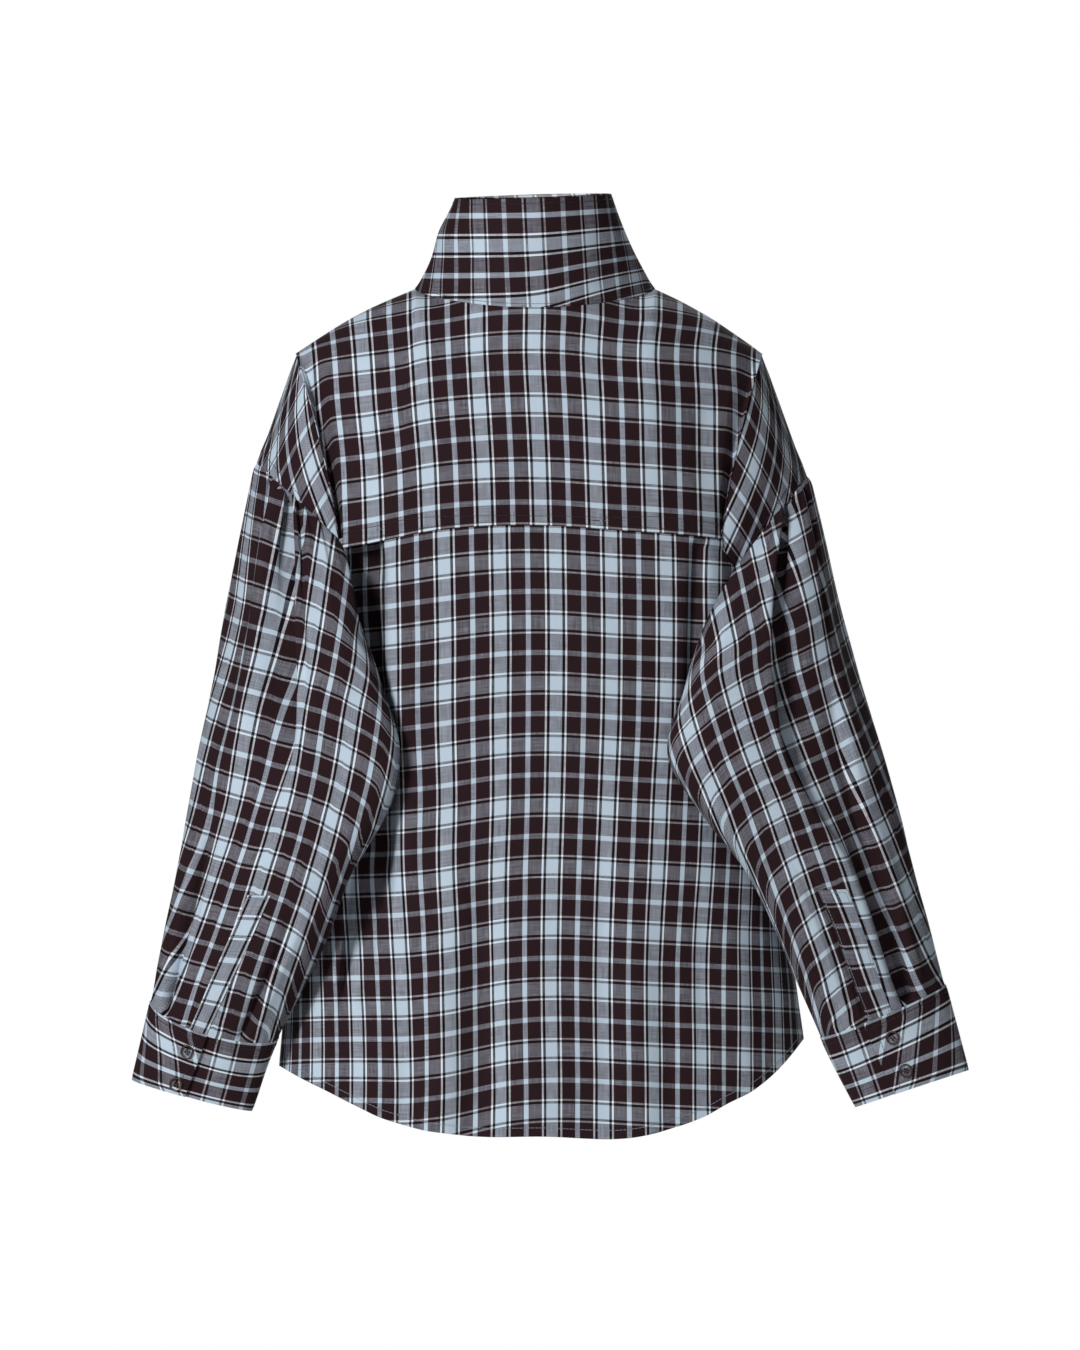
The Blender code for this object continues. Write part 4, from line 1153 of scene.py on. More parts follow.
# %% The collar's check and relief
COLLAR_LAYERS = 1.3
# The bands' spacing, and the height of one band on the left, measured down from a level
COLLAR_REPEAT = 51.3
COLLAR_BAND = 25.6
COLLAR_LEVEL = 67.2
# The bands' dip to the right, and how it grows down the collar: where it starts, the width over
# which it comes in, the most it reaches and how softly it starts
COLLAR_SLOPE = (5.9, 0.117, 0.0034)
COLLAR_SLOPE_FROM, COLLAR_SLOPE_SPAN, COLLAR_SLOPE_MOST = 8.5, 68.0, 1.25
COLLAR_SLOPE_SOFT = 0.12
# Where an upright band of the weft lies, at the collar's top and foot
COLLAR_WEFT_TOP, COLLAR_WEFT_FOOT = -1.9, 2.3
# The left side stands out a little: where across and how far up, over what reach and how far
FLARE_PLACE, FLARE_WIDTH = -82.0, 18.0
FLARE_ROW, FLARE_REACH = 0.65, 0.24
FLARE_OUT = 4.4
COLLAR_CREASES = table(
    CREASE_COLUMNS,
    (-60, 8, -52, -60, 4, 7, -1.4), (58, 6, 50, -62, -4, 8, -1.4), (-20, -2, -14, -70, 3, 12, 0.7),
    (24, -4, 20, -66, 3, 12, -0.7), (-78, 0, -66, -40, 2, 6, 1.0),
)
FOOT_LIFT = 0.8
FOOT_REACH = 0.10
# The share of the waviness that shows on the stiffer collar and cuffs
STIFF_WAVES = 0.4


def collar_relief(run, v, point):
    x, rise = point[..., 0], -point[..., 2]
    foot = FOOT_LIFT * ease(1 - v / FOOT_REACH)
    off = ((x - FLARE_PLACE) / FLARE_WIDTH) ** 2 + ((v - FLARE_ROW) / FLARE_REACH) ** 2
    flare = FLARE_OUT * np.exp(-off)
    folds = creases(COLLAR_CREASES, x, rise) * np.where(point[..., 1] < 0, 1, -1)
    return folds + STIFF_WAVES * waviness(x, rise) + (foot + flare)


def collar_chart(run, v, points):
    x, z = points[..., 0], points[..., 2]
    below = COLLAR_LEVEL - z
    turn = np.clip((x - COLLAR_SLOPE_FROM) / COLLAR_SLOPE_SPAN, -COLLAR_SLOPE_MOST, COLLAR_SLOPE_MOST)
    turn = (turn + np.sqrt(turn ** 2 + COLLAR_SLOPE_SOFT)) / 2
    level = below + turn * (COLLAR_SLOPE[0] + COLLAR_SLOPE[1] * below + COLLAR_SLOPE[2] * below ** 2)
    behind = (run[0] > 0.5) & (run[0] < 1.5)
    along = spans(points, 1)
    lines = mix(COLLAR_WEFT_FOOT, COLLAR_WEFT_TOP, z.mean(axis=1) / COLLAR_TOP_HEIGHT)
    start = [np.interp(line, xs[behind], row[behind]) for line, xs, row in zip(lines, x, along)]
    round_neck = along - np.array(start)[:, None]
    return (level - COLLAR_BAND) / COLLAR_REPEAT * WARP_REPEAT, round_neck / COLLAR_REPEAT * WEFT_REPEAT


COLLAR_GRID = (170, 30)
collar_cloth = creased(collar, COLLAR_OUTWARD, collar_relief)
sew("funnel_collar", "collar", collar_cloth, steps(-UNDER_EDGE, 2 - OVER_EDGE, COLLAR_GRID[0]),
    steps(0, 1, COLLAR_GRID[1]), COLLAR_OUTWARD, collar_chart, thickness=COLLAR_LAYERS)

# %% [markdown]
# ## The shoulder caps
# Each cap is a crescent between the armhole and the gathered sleeve. It is cut on the bias, so
# its stripes run steeply down towards the arm. To give it a flat place in the cloth, it is
# unrolled round an upright axis through the shoulder.

# %% The caps' check and relief
CAP_AXIS = (170.0, 4.0)
CAP_RADIUS = 85.0
# The bias: the angle of the warp and of the weft, and where a wide band of each lies
CAP_BIAS = {-1: (24.0, 36.0, -82.0, 66.2), 1: (28.5, 42.0, -89.0, 82.9)}
# The lower edge stands proud of the gathers and reaches a little past them
CAP_EDGE_LIFT = 1.1
CAP_EDGE_START, CAP_EDGE_RAMP = 0.75, 0.2
CAP_OVERLAP = 1.05
CAP_TO_END = 0.997
# The armhole's seam draws the upper edge in
CAP_DIP = 0.5
CAP_REACH = 0.12
CAP_WAVES = 0.5


def cap_relief(r, v, point):
    edge = CAP_EDGE_LIFT * ease((v - CAP_EDGE_START) / CAP_EDGE_RAMP)
    dip = -CAP_DIP * np.exp(-(v / CAP_REACH) ** 2)
    return edge + dip + CAP_WAVES * waviness(point[..., 1], point[..., 2])


def cap_chart_for(hand):
    warp_bias, weft_bias, warp_place, weft_place = CAP_BIAS[hand]

    def cap_chart(r, v, points):
        outward = np.abs(points[..., 0]) - CAP_AXIS[0]
        unrolled = CAP_RADIUS * np.arctan2(outward, CAP_AXIS[1] - points[..., 1])
        drop = -points[..., 2]
        warp = -unrolled * math.cos(math.radians(warp_bias)) - drop * math.sin(math.radians(warp_bias))
        weft = -unrolled * math.cos(math.radians(weft_bias)) + drop * math.sin(math.radians(weft_bias))
        return warp - warp_place, weft - weft_place
    return cap_chart


print("the left cap's biases, in degrees:", CAP_BIAS[-1][:2])

# %% [markdown]
# ## Sleeves, plackets and cuffs
# A sleeve is a tube with its seam under the arm, where the check breaks. At the back of the arm
# the stripes run straight up to the gathers. In front of the arm they draw together there, less
# evenly than in real cloth. The cuff is a separate band with its warp running round the wrist.
# Above its opening a narrow placket is sewn on to bind the slit.

# %% The sleeves' check
# How far round from the outer side a wide band of the warp runs, at places down the sleeve
SLEEVE_BANDS = {
    -1: table(
        "s around",
        (0.10, 135), (0.20, 137), (0.38, 119), (0.57, 111), (0.77, 96), (0.90, 80), (1.0, 68),
    ),
    1: table(
        "s around",
        (0.10, 154), (0.22, 159), (0.43, 147), (0.64, 133), (0.79, 124), (0.91, 112), (1.0, 104),
    ),
}
# Above this row the check runs straight on up to the seam, leaning out by this much
SLEEVE_STRAIGHT = 0.21
SLEEVE_LEAN = {-1: 0.14, 1: 0.22}
# Near the arm's outer side the cloth is pressed flat, so less of it shows
FLAT_REACH, FLAT_SHIFT = 60.0, 15.0
# The weft: where a wide band lies down the sleeve, the bands' spacing, and the tilt across it
SLEEVE_WEFT = {-1: (112.0, 54.7, 0.0), 1: (125.0, 54.0, 0.25)}
SLEEVE_CREASES = {
    -1: table(
        CREASE_COLUMNS,
        (104, -20, 108, 300, 0, 6, 2.0), (66, -10, 62, 260, 0, 8, 2.0),
        (61, 250, 56, 500, 0, 6, 3.0), (140, 60, 128, 230, -6, 10, 1.6),
        (50, 40, 44, 240, 4, 9, -3.0), (150, 170, 100, 230, 8, 10, -1.6),
        (160, 210, 110, 275, 8, 9, -1.4), (132, 330, 124, 470, 4, 6, -2.2),
        (150, 340, 140, 470, -4, 7, 1.8), (-60, 40, -50, 260, -6, 9, -2.2),
        (-110, 50, -100, 230, 6, 10, 1.6), (-80, 320, -70, 452, 4, 7, -2.0),
    ),
    1: table(
        CREASE_COLUMNS,
        (94, -20, 92, 300, 0, 8, 2.5), (48, -10, 44, 260, 0, 8, 2.0),
        (90, 230, 86, 500, 0, 6, 2.0), (50, 250, 56, 500, 0, 5, 2.5),
        (150, 60, 138, 230, -6, 10, 1.6), (160, 170, 110, 230, 8, 10, -1.6),
        (165, 215, 115, 280, 8, 9, -1.4), (128, 300, 126, 470, 0, 4, -4.5),
        (160, 340, 152, 470, -4, 7, 1.8), (-60, 40, -50, 260, -6, 9, -2.2),
        (-110, 50, -100, 230, 6, 10, 1.6), (-80, 320, -70, 441, 4, 7, -2.0),
    ),
}
# Deep pleats, in which the fullness falls over itself from the gathers and from the cuff
SLEEVE_PLEATS = {
    -1: table(
        CREASE_COLUMNS,
        (87, -90, 92, 280, 0, 26, -26.0), (104, -40, 100, 190, 0, 7, -6.0),
        (48, 220, 42, 550, 0, 11, -12.0), (136, 350, 120, 560, 0, -11, -6.0),
        (58, -40, 56, 140, 0, 9, -5.0), (-70, -40, -64, 200, 0, -16, -8.0),
    ),
    1: table(
        CREASE_COLUMNS,
        (86, -90, 84, 320, 5, 26, -20.0), (56, 110, 68, 520, 0, -28, -13.0),
        (120, 280, 119, 560, 0, -6, -6.0), (46, -30, 50, 150, 0, 10, -4.0),
        (-70, -40, -64, 200, 0, -16, -7.0),
    ),
}
SLEEVE_PLEAT_EDGE = 3.0
# The length round a sleeve to which the tables' first column is measured, from its outer side
SLEEVE_ROUND = 460.0
SEAM_CALM = 9.0


def sleeve_relief_for(hand):
    def sleeve_relief(r, s, point):
        around = (np.mod(r + 0.5, 1.0) - 0.5) * SLEEVE_ROUND
        down = s * SLEEVE_LENGTH[hand]
        calm = ease(down / SEAM_CALM) * ease((SLEEVE_LENGTH[hand] - down) / SEAM_CALM)
        folds = creases(SLEEVE_CREASES[hand], around, down)
        folds = folds + pleats(SLEEVE_PLEATS[hand], around, down, SLEEVE_PLEAT_EDGE)
        return (folds + waviness(around, down)) * calm
    return sleeve_relief


def sleeve_chart_for(hand):
    """A sleeve's place in the cloth, measured on the smooth sleeve, so that pleats hide no stripe."""
    def sleeve_chart(r, s, creased_sleeve):
        points = sleeve(hand, r, s)
        round_arm = spans(points, 1)
        outer = np.array([np.interp(0.0, r[0], row) for row in round_arm])
        round_arm = round_arm - outer[:, None]
        start, apart, tilt = SLEEVE_WEFT[hand]
        band = read(SLEEVE_BANDS[hand], "around", s)
        weft = spans(points, 0) + tilt * (band - round_arm) - start
        pressed = FLAT_SHIFT * np.clip(1 - np.abs(round_arm) / FLAT_REACH, 0, 1) ** 2
        warp = round_arm - band + np.where(round_arm < 0, 2 * FLAT_SHIFT - pressed, pressed)
        # Above the straight row a point takes the stripe of the point of that row that lies
        # below it along the lean, first behind the arm and then in front of it.
        lean, drop = SLEEVE_LEAN[hand], -points[..., 2]
        inward = lean * drop - hand * points[..., 0]
        level = np.abs(s[:, 0] - SLEEVE_STRAIGHT).argmin()
        for half in (np.flatnonzero(r[0] >= 0), np.flatnonzero(r[0] < 0)[::-1]):
            shown = half[:inward[level, half].argmax() + 1]
            place, known = inward[:level, half], np.maximum.accumulate(inward[level, shown])
            rise = (np.interp(place, known, drop[level, shown]) - drop[:level, half]) * math.hypot(1, lean)
            warp[:level, half] = np.interp(place, known, warp[level, shown])
            weft[:level, half] = np.interp(place, known, weft[level, shown]) - rise
        return warp, weft / apart * WEFT_REPEAT
    return sleeve_chart


print("pleats in the left and the right sleeve:", [len(SLEEVE_PLEATS[hand]["a1"]) for hand in (-1, 1)])

# %% The cuffs' check, and the plackets
CUFF_LAYERS = 1.4
CUFF_LIFT = 1.1
CUFF_DEPTH = 66.0
# Where a wide band lies down the cuff, and how far the cuff reaches up over the sleeve's end
CUFF_BAND = 21.0
CUFF_START = -0.03
# The stitched edges are drawn in, and the under end is pressed down below the lap
CUFF_DIP, CUFF_DIP_REACH = 0.3, 0.05
CUFF_UNDER, CUFF_UNDER_REACH = 2.2, 0.05
# Each placket's middle at its top and at the cuff, and half its width, as places round the sleeve
PLACKET_TOP = {-1: 0.229, 1: 0.235}
PLACKET_FOOT = {-1: 0.189, 1: 0.230}
PLACKET_HALF_WIDTH = {-1: 0.018, 1: 0.024}
PLACKET_START = 0.745
PLACKET_LIFT = 1.0
PLACKET_LAYERS = 0.9
PLACKET_HALF_SPAN = {-1: 9.0, 1: 10.0}
PLACKET_SHIFT = {-1: 0.3, 1: 8.0}
PLACKET_WEFT = {-1: 96.5, 1: 125.0}


def cuff_relief_for(hand):
    def cuff_relief(r, v, point):
        dips = np.exp(-(v / CUFF_DIP_REACH) ** 2) + np.exp(-((1 - v) / CUFF_DIP_REACH) ** 2)
        under = CUFF_UNDER * ease((CUFF_LAP[hand] + CUFF_UNDER_REACH - r) / CUFF_UNDER_REACH)
        return CUFF_LIFT - under - CUFF_DIP * dips + STIFF_WAVES * waviness(point[..., 0], point[..., 2])
    return cuff_relief


def placket_face_for(hand):
    """The placket's place on the sleeve: t runs across it from -1 to 1, and s down the sleeve."""
    def placket_face(t, s):
        middle = mix(PLACKET_TOP[hand], PLACKET_FOOT[hand], (s - PLACKET_START) / (1 - PLACKET_START))
        return sleeve_cloth[hand](middle + t * PLACKET_HALF_WIDTH[hand], s)
    return placket_face


def cuff_chart(r, v, points):
    return v * CUFF_DEPTH - CUFF_BAND, spans(points, 1)


print("a wide band's place on the cuff, as a share of its depth:", round(CUFF_BAND / CUFF_DEPTH, 2))

# %% Cutting the arms
CAP_GRID = (110, 16)
SLEEVE_GRID = (280, 130)
CUFF_GRID = (120, 22)
PLACKET_GRID = (12, 44)
WORDS = {-1: "left", 1: "right"}
sleeve_cloth, cap_cloth, cuff_cloth, placket_cloth = {}, {}, {}, {}


def make_arm(hand):
    """One arm: its cap, sleeve, cuff and placket."""
    word = WORDS[hand]
    behind, before = (end * CAP_TO_END for end in cap_ends(hand))
    cap_cloth[hand] = creased(lambda r, v: cap(hand, r, v), hand, cap_relief)
    sleeve_cloth[hand] = creased(lambda r, s: sleeve(hand, r, s), hand, sleeve_relief_for(hand))
    cuff_cloth[hand] = creased(lambda r, v: cuff(hand, r, v), hand, cuff_relief_for(hand))
    placket_cloth[hand] = creased(placket_face_for(hand), hand, lambda t, s, point: PLACKET_LIFT + 0 * t)
    sew(f"cap_{word}", f"shoulder_cap_{word}", cap_cloth[hand],
        steps(-before, behind, CAP_GRID[0]), steps(0, CAP_OVERLAP, CAP_GRID[1]),
        hand, cap_chart_for(hand))
    sew(f"arm_{word}", f"sleeve_{word}", sleeve_cloth[hand],
        np.linspace(-0.5, 0.5, SLEEVE_GRID[0] + 1), steps(0, 1, SLEEVE_GRID[1]),
        hand, sleeve_chart_for(hand), closed=True)
    lap = CUFF_LAP[hand]
    sew(f"wristband_{word}", f"cuff_{word}", cuff_cloth[hand],
        steps(lap - CUFF_LAP_REACH, 1 + lap, CUFF_GRID[0]), steps(CUFF_START, 1, CUFF_GRID[1]),
        hand, cuff_chart, thickness=CUFF_LAYERS)

    def placket_chart(t, s, points):
        weft = (s * SLEEVE_LENGTH[hand] - PLACKET_WEFT[hand]) / SLEEVE_WEFT[hand][1] * WEFT_REPEAT
        return t * PLACKET_HALF_SPAN[hand] + PLACKET_SHIFT[hand], weft

    sew(f"placket_{word}", f"sleeve_placket_{word}", placket_cloth[hand],
        steps(-1, 1, PLACKET_GRID[0]), steps(PLACKET_START, 1, PLACKET_GRID[1]),
        hand, placket_chart, thickness=PLACKET_LAYERS)


make_arm(-1)
make_arm(1)

# %% [markdown]
# ## Buttons
# Shirt buttons are turned from polyester in a dark brown, with a raised rim, a dished middle
# and four holes. A disc is drawn with its holes and given its thickness, and its rim is
# bevelled. The thread crosses between the holes in two short bars.

# %% The button's form
BUTTON_RADIUS = 5.65
BUTTON_THICKNESS = 2.0
RIM_WIDTH = 1.3
DISH_DEPTH = 0.5
HOLE_RADIUS = 0.75
HOLE_PLACE = 1.25
RIM_BEVEL = 0.45
# The bars of thread: their radius, how flat they lie, and how far they pass the holes' middles
BAR_RADIUS, BAR_FLAT, BAR_PAST = 0.45, 0.6, 0.35
BUTTON_SIDES = 36
HOLE_SIDES = 10
BUTTON_SEAT = 0.25
NEARLY = 0.1
SHARP_ANGLE = 35

horn, horn_tree, horn_shader = new_material("dark_brown_polyester_button", 0.32)
grain = add_node(horn_tree, "ShaderNodeTexCoord").outputs["Object"]
cloud = add_node(horn_tree, "ShaderNodeTexNoise", Vector=grain, Scale=350.0, Detail=3.0).outputs["Fac"]
tones = add_node(horn_tree, "ShaderNodeMix", {"data_type": "RGBA"}, _0=cloud,
                 _6=colour("#2A1614"), _7=colour("#4A2C27")).outputs[2]
horn_tree.links.new(tones, horn_shader.inputs["Base Color"])
THREADS = {}
for tone, code in {"light": "#8798A6", "dark": "#2A1A20"}.items():
    thread, thread_tree, thread_shader = new_material(f"polyester_thread_{tone}", 0.6)
    twist = add_node(thread_tree, "ShaderNodeTexCoord").outputs["Object"]
    ply = add_node(thread_tree, "ShaderNodeTexNoise", Vector=twist, Scale=1500.0).outputs["Fac"]
    dull = tuple(0.75 * c for c in colour(code)[:3]) + (1.0,)
    tint = add_node(thread_tree, "ShaderNodeMix", {"data_type": "RGBA"}, _0=ply, _6=dull, _7=colour(code))
    thread_tree.links.new(tint.outputs[2], thread_shader.inputs["Base Color"])
    THREADS[tone] = thread


def button_mesh():
    """A four-hole button in millimetres, facing +Z and standing on its underside."""
    bm = bmesh.new()
    bmesh.ops.create_circle(bm, segments=BUTTON_SIDES, radius=BUTTON_RADIUS)
    for x in (-HOLE_PLACE, HOLE_PLACE):
        for y in (-HOLE_PLACE, HOLE_PLACE):
            bmesh.ops.create_circle(bm, segments=HOLE_SIDES, radius=HOLE_RADIUS,
                                    matrix=Matrix.Translation((x, y, 0)))
    bmesh.ops.create_circle(bm, segments=BUTTON_SIDES, radius=BUTTON_RADIUS - RIM_WIDTH)
    bmesh.ops.triangle_fill(bm, use_beauty=True, edges=bm.edges[:])
    body = bmesh.ops.extrude_face_region(bm, geom=bm.faces[:])
    top = [item for item in body["geom"] if isinstance(item, bmesh.types.BMVert)]
    bmesh.ops.translate(bm, vec=(0, 0, BUTTON_THICKNESS), verts=top)
    inside = BUTTON_RADIUS - RIM_WIDTH + NEARLY
    for vert in top:
        if math.hypot(vert.co.x, vert.co.y) < inside:
            vert.co.z -= DISH_DEPTH
    bmesh.ops.recalc_face_normals(bm, faces=bm.faces)
    outer = {v for v in top if math.hypot(v.co.x, v.co.y) > BUTTON_RADIUS - NEARLY}
    rim = [e for e in bm.edges if outer.issuperset(e.verts)]
    bmesh.ops.bevel(bm, geom=rim, offset=RIM_BEVEL, offset_type="OFFSET", affect="EDGES", segments=2,
                    profile=0.5, material=-1)
    across = Matrix.Rotation(math.pi / 2, 4, "Y") @ Matrix.Diagonal((BAR_FLAT, 1.0, 1.0, 1.0))
    for y in (-HOLE_PLACE, HOLE_PLACE):
        bar = Matrix.Translation((0, y, BUTTON_THICKNESS - DISH_DEPTH + NEARLY)) @ across
        made = bmesh.ops.create_cone(bm, cap_ends=True, segments=8, radius1=BAR_RADIUS,
                                     radius2=BAR_RADIUS, depth=2 * (HOLE_PLACE + BAR_PAST), matrix=bar)
        for face in {f for v in made["verts"] for f in v.link_faces}:
            face.material_index = 1
    return bm


def add_button(name, node, face, u, v, outward, turn=0.0):
    """A button sewn on a face of cloth."""
    at_u, at_v = np.array([u]), np.array([v])
    way = Vector(normals(face, at_u, at_v)[0]) * outward
    seat = Vector(face(at_u, at_v)[0]) + way * BUTTON_SEAT
    stand = Matrix.Translation(seat * MM) @ way.to_track_quat("Z", "Y").to_matrix().to_4x4()
    bm = button_mesh()
    turned = Matrix.Rotation(turn, 4, "Z") @ Matrix.Scale(MM, 4)
    bmesh.ops.transform(bm, matrix=stand @ turned, verts=bm.verts)
    piece = placed(name, bm, horn, THREADS["dark"])
    piece.data.shade_smooth()
    piece.data.set_sharp_from_angle(angle=math.radians(SHARP_ANGLE))
    ride(piece, node)


# %% Sewing the buttons on
CUFF_BUTTON_ROWS = {-1: (0.28, 0.84), 1: (0.27, 0.74)}
CUFF_BUTTON_INSET = {-1: 0.027, 1: 0.042}
BUTTON_INSET = 0.055
FRONT_BUTTON_ROWS = (-0.62, -0.02, 0.28, 0.50, 0.72)
COLLAR_BUTTON_HEIGHT = 0.55
for hand, word in WORDS.items():
    for number, row in enumerate(CUFF_BUTTON_ROWS[hand], 1):
        add_button(f"wrist_button_{word}_{number}", f"cuff_button_{word}_{number}", cuff_cloth[hand],
                   1 + CUFF_LAP[hand] - CUFF_BUTTON_INSET[hand], row, hand, turn=0.3 + 0.5 * number)
for number, row in enumerate(FRONT_BUTTON_ROWS, 1):
    add_button(f"closing_button_{number}", f"front_button_{number}", over_cloth, OVER_EDGE + BUTTON_INSET,
               row, FRONT_OUTWARD, turn=0.4 * number)
add_button("neck_button", "collar_button", collar_cloth, 2 - OVER_EDGE - BUTTON_INSET, COLLAR_BUTTON_HEIGHT,
           COLLAR_OUTWARD)
print("rows of buttons on the cuffs:", CUFF_BUTTON_ROWS, "and down the front:", FRONT_BUTTON_ROWS)

# %% [markdown]
# ## Stitches
# The edges and most seams show a row of lockstitches, about 3 mm apart. Each stitch is a tiny
# five-sided rod laid along its line on the cloth, and all of a piece's stitches are one mesh.
# A line is drawn on the face by its u and v, and stepped off by its real length.

# %% Laying stitches along a line
STITCH_LENGTH = 2.5
STITCH_PITCH = 3.3
STITCH_RADIUS = 0.24
STITCH_LIFT = 0.12
STITCH_SIDES = 5


def stitched(name, tone, lines):
    """A mesh of stitches along lines, each given as a face, its u, its v and its outward sign."""
    bm = bmesh.new()
    count = 0
    for face, u, v, outward in lines:
        u, v = np.broadcast_arrays(np.asarray(u, float), np.asarray(v, float))
        path = face(u, v)
        along = np.concatenate([[0], np.cumsum(np.linalg.norm(np.diff(path, axis=0), axis=1))])
        middles = np.arange(STITCH_PITCH / 2, along[-1], STITCH_PITCH)
        at_u, at_v = np.interp(middles, along, u), np.interp(middles, along, v)
        out = normals(face, at_u, at_v) * outward
        ends = [np.stack([np.interp(middles + half, along, path[:, a]) for a in range(3)], axis=1)
                for half in (-STITCH_LENGTH / 2, STITCH_LENGTH / 2)]
        for start, end in zip(ends[0] + out * STITCH_LIFT, ends[1] + out * STITCH_LIFT):
            turn = Vector(end - start).to_track_quat("Z", "Y").to_matrix().to_4x4()
            bmesh.ops.create_cone(bm, cap_ends=True, segments=STITCH_SIDES, radius1=STITCH_RADIUS * MM,
                                  radius2=STITCH_RADIUS * MM, depth=STITCH_LENGTH * MM,
                                  matrix=Matrix.Translation(Vector(start + end) / 2 * MM) @ turn)
        count += len(middles)
    piece = placed(name, bm, THREADS[tone])
    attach(piece, "root")
    print(f"{name}: {count} stitches")


# %% The rows of stitches
# The points along a line, how near it runs to the ends of a piece, and the rows' places on theirs
LINE = 400
SIDE_END, ROW_END = 0.998, 0.99
HEM_ROW = 0.988
YOKE_ROWS_SEWN = (-0.012, -0.040)
COLLAR_ROWS = (0.95, 0.03)
LAP_INSET = 0.02
CUFF_ROWS = (0.05, 0.93)
CUFF_ROW_INSET, CUFF_END_INSET = 0.01, 0.018
PLACKET_SIDE = 0.82
PLACKET_ROWS = (PLACKET_START + 0.006, 0.82)
PLACKET_ROW_END = 0.005
CAP_ROW, CAP_ROW_END, CAP_ROW_INSET = 0.93, 0.965, 0.03

wide = np.linspace(-SIDE_END, SIDE_END, LINE)
stitched("hem_stitches", "light", [
    (panel_cloth, wide, HEM_ROW, BACK_OUTWARD),
    (over_cloth, np.linspace(OVER_EDGE, SIDE_END, LINE), HEM_ROW, FRONT_OUTWARD),
    (under_cloth, np.linspace(-SIDE_END, UNDER_EDGE, LINE), HEM_ROW, FRONT_OUTWARD),
])
stitched("yoke_stitches", "dark", [(yoke_cloth, wide, row, BACK_OUTWARD) for row in YOKE_ROWS_SEWN])
round_neck = np.linspace(-UNDER_EDGE, 2 - OVER_EDGE, LINE)
stitched("collar_stitches", "dark", [(collar_cloth, round_neck, row, COLLAR_OUTWARD) for row in COLLAR_ROWS])
down_front = np.linspace(-ROW_END, ROW_END, LINE)
stitched("front_stitches", "dark", [(over_cloth, OVER_EDGE + LAP_INSET, down_front, FRONT_OUTWARD)])
for hand, word in WORDS.items():
    first, last = CUFF_LAP[hand] - CUFF_LAP_REACH, 1 + CUFF_LAP[hand]
    round_wrist = np.linspace(first + CUFF_ROW_INSET, last - CUFF_ROW_INSET, LINE)
    down_wrist = np.linspace(*CUFF_ROWS, LINE)
    down_placket = np.linspace(PLACKET_START + PLACKET_ROW_END, 1 - PLACKET_ROW_END, LINE)
    over_placket = np.linspace(-PLACKET_SIDE, PLACKET_SIDE, LINE)
    behind, before = (end * CAP_ROW_END for end in cap_ends(hand))
    round_cap = np.linspace(CAP_ROW_INSET - before, behind - CAP_ROW_INSET, LINE)
    stitched(f"cuff_stitches_{word}", "dark", [
        *((cuff_cloth[hand], round_wrist, row, hand) for row in CUFF_ROWS),
        (cuff_cloth[hand], last - CUFF_END_INSET, down_wrist, hand),
    ])
    stitched(f"placket_stitches_{word}", "light", [
        *((placket_cloth[hand], side, down_placket, hand) for side in (-PLACKET_SIDE, PLACKET_SIDE)),
        *((placket_cloth[hand], over_placket, row, hand) for row in PLACKET_ROWS),
    ])
    stitched(f"cap_stitches_{word}", "dark", [(cap_cloth[hand], round_cap, CAP_ROW, hand)])
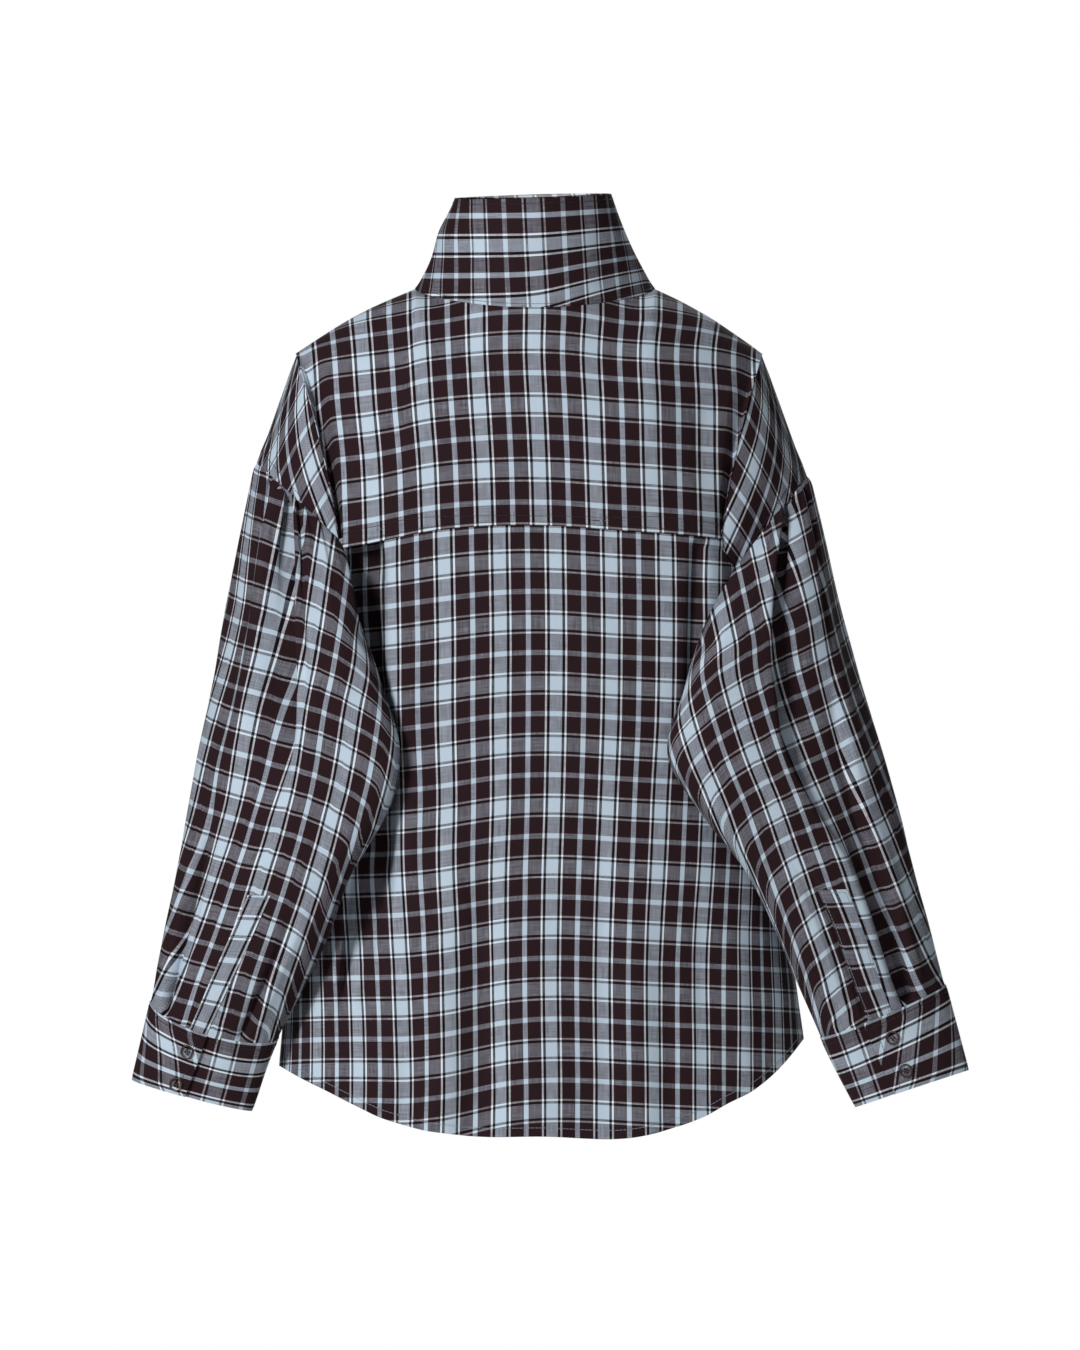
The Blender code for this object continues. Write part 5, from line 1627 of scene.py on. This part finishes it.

# %% [markdown]
# ## Cut sizes
# Each piece's area, in square metres, is printed as it is sewn, above.

# %% [markdown]
# ## Camera, light and floor
# The camera looks level at the back from far away, so it is an orthographic one, and its frame
# is the photograph's. A strong soft light stands high on the left of the camera and a weak one
# fills its shadows. A third lights the shirt's front for views from the other side. The
# surroundings are pale, and the shirt hangs above a plain pale floor.

# %% The camera
FRAME_HEIGHT = 1.1475
FRAME_CENTRE = (0.00425, -0.323)
camera = bpy.data.objects.new("camera", bpy.data.cameras.new("camera"))
camera.data.type = "ORTHO"
camera.data.ortho_scale = FRAME_HEIGHT
camera.location = (FRAME_CENTRE[0], -5.0, FRAME_CENTRE[1])
camera.rotation_euler = (math.radians(90), 0, 0)
bpy.context.scene.collection.objects.link(camera)
bpy.context.scene.camera = camera
bpy.context.scene.view_settings.view_transform = "Standard"
print("the frame's height in metres:", FRAME_HEIGHT)

# %% The lights and the surroundings
# Each light: where it stands in metres, the side of its panel in metres, and its power in watts
LIGHTS = {
    "key": ((-2.35, -3.7, 1.4), 1.0, 205.0),
    "fill": ((0.8, -4.0, 0.3), 2.6, 12.0),
    "front": ((0.8, 3.4, 1.8), 2.5, 85.0),
}
SHIRT_MIDDLE = Vector((0, 0, -0.35))
AMBIENT = 0.15
for name, (place, size, power) in LIGHTS.items():
    light = bpy.data.objects.new(name, bpy.data.lights.new(name, "AREA"))
    light.data.size = size
    light.data.energy = power
    light.location = place
    light.rotation_euler = (SHIRT_MIDDLE - light.location).to_track_quat("-Z", "Y").to_euler()
    bpy.context.scene.collection.objects.link(light)
    print(f"{name} light: {power} W")
world = bpy.data.worlds.new("pale studio")
world.use_nodes = True
bpy.context.scene.world = world
sky = world.node_tree
paper = add_node(sky, "ShaderNodeBackground", Color=(1, 1, 1, 1), Strength=1.0)
glow = add_node(sky, "ShaderNodeBackground", Color=(1, 1, 1, 1), Strength=AMBIENT)
seen = add_node(sky, "ShaderNodeLightPath").outputs["Is Camera Ray"]
choice = add_node(sky, "ShaderNodeMixShader", _0=seen, _1=glow.outputs[0], _2=paper.outputs[0])
sky.links.new(choice.outputs[0], sky.nodes["World Output"].inputs["Surface"])

# %% The floor
FLOOR_HEIGHT = -1.0
FLOOR_RADIUS = 1.1
paint, _, paint_shader = new_material("matt_white_paint", 0.9)
paint_shader.inputs["Base Color"].default_value = colour("#EDEDEB")
bm = bmesh.new()
bmesh.ops.create_circle(bm, cap_ends=True, segments=64, radius=FLOOR_RADIUS,
                        matrix=Matrix.Translation((0, 0, FLOOR_HEIGHT)))
floor = placed("floor", bm, paint)
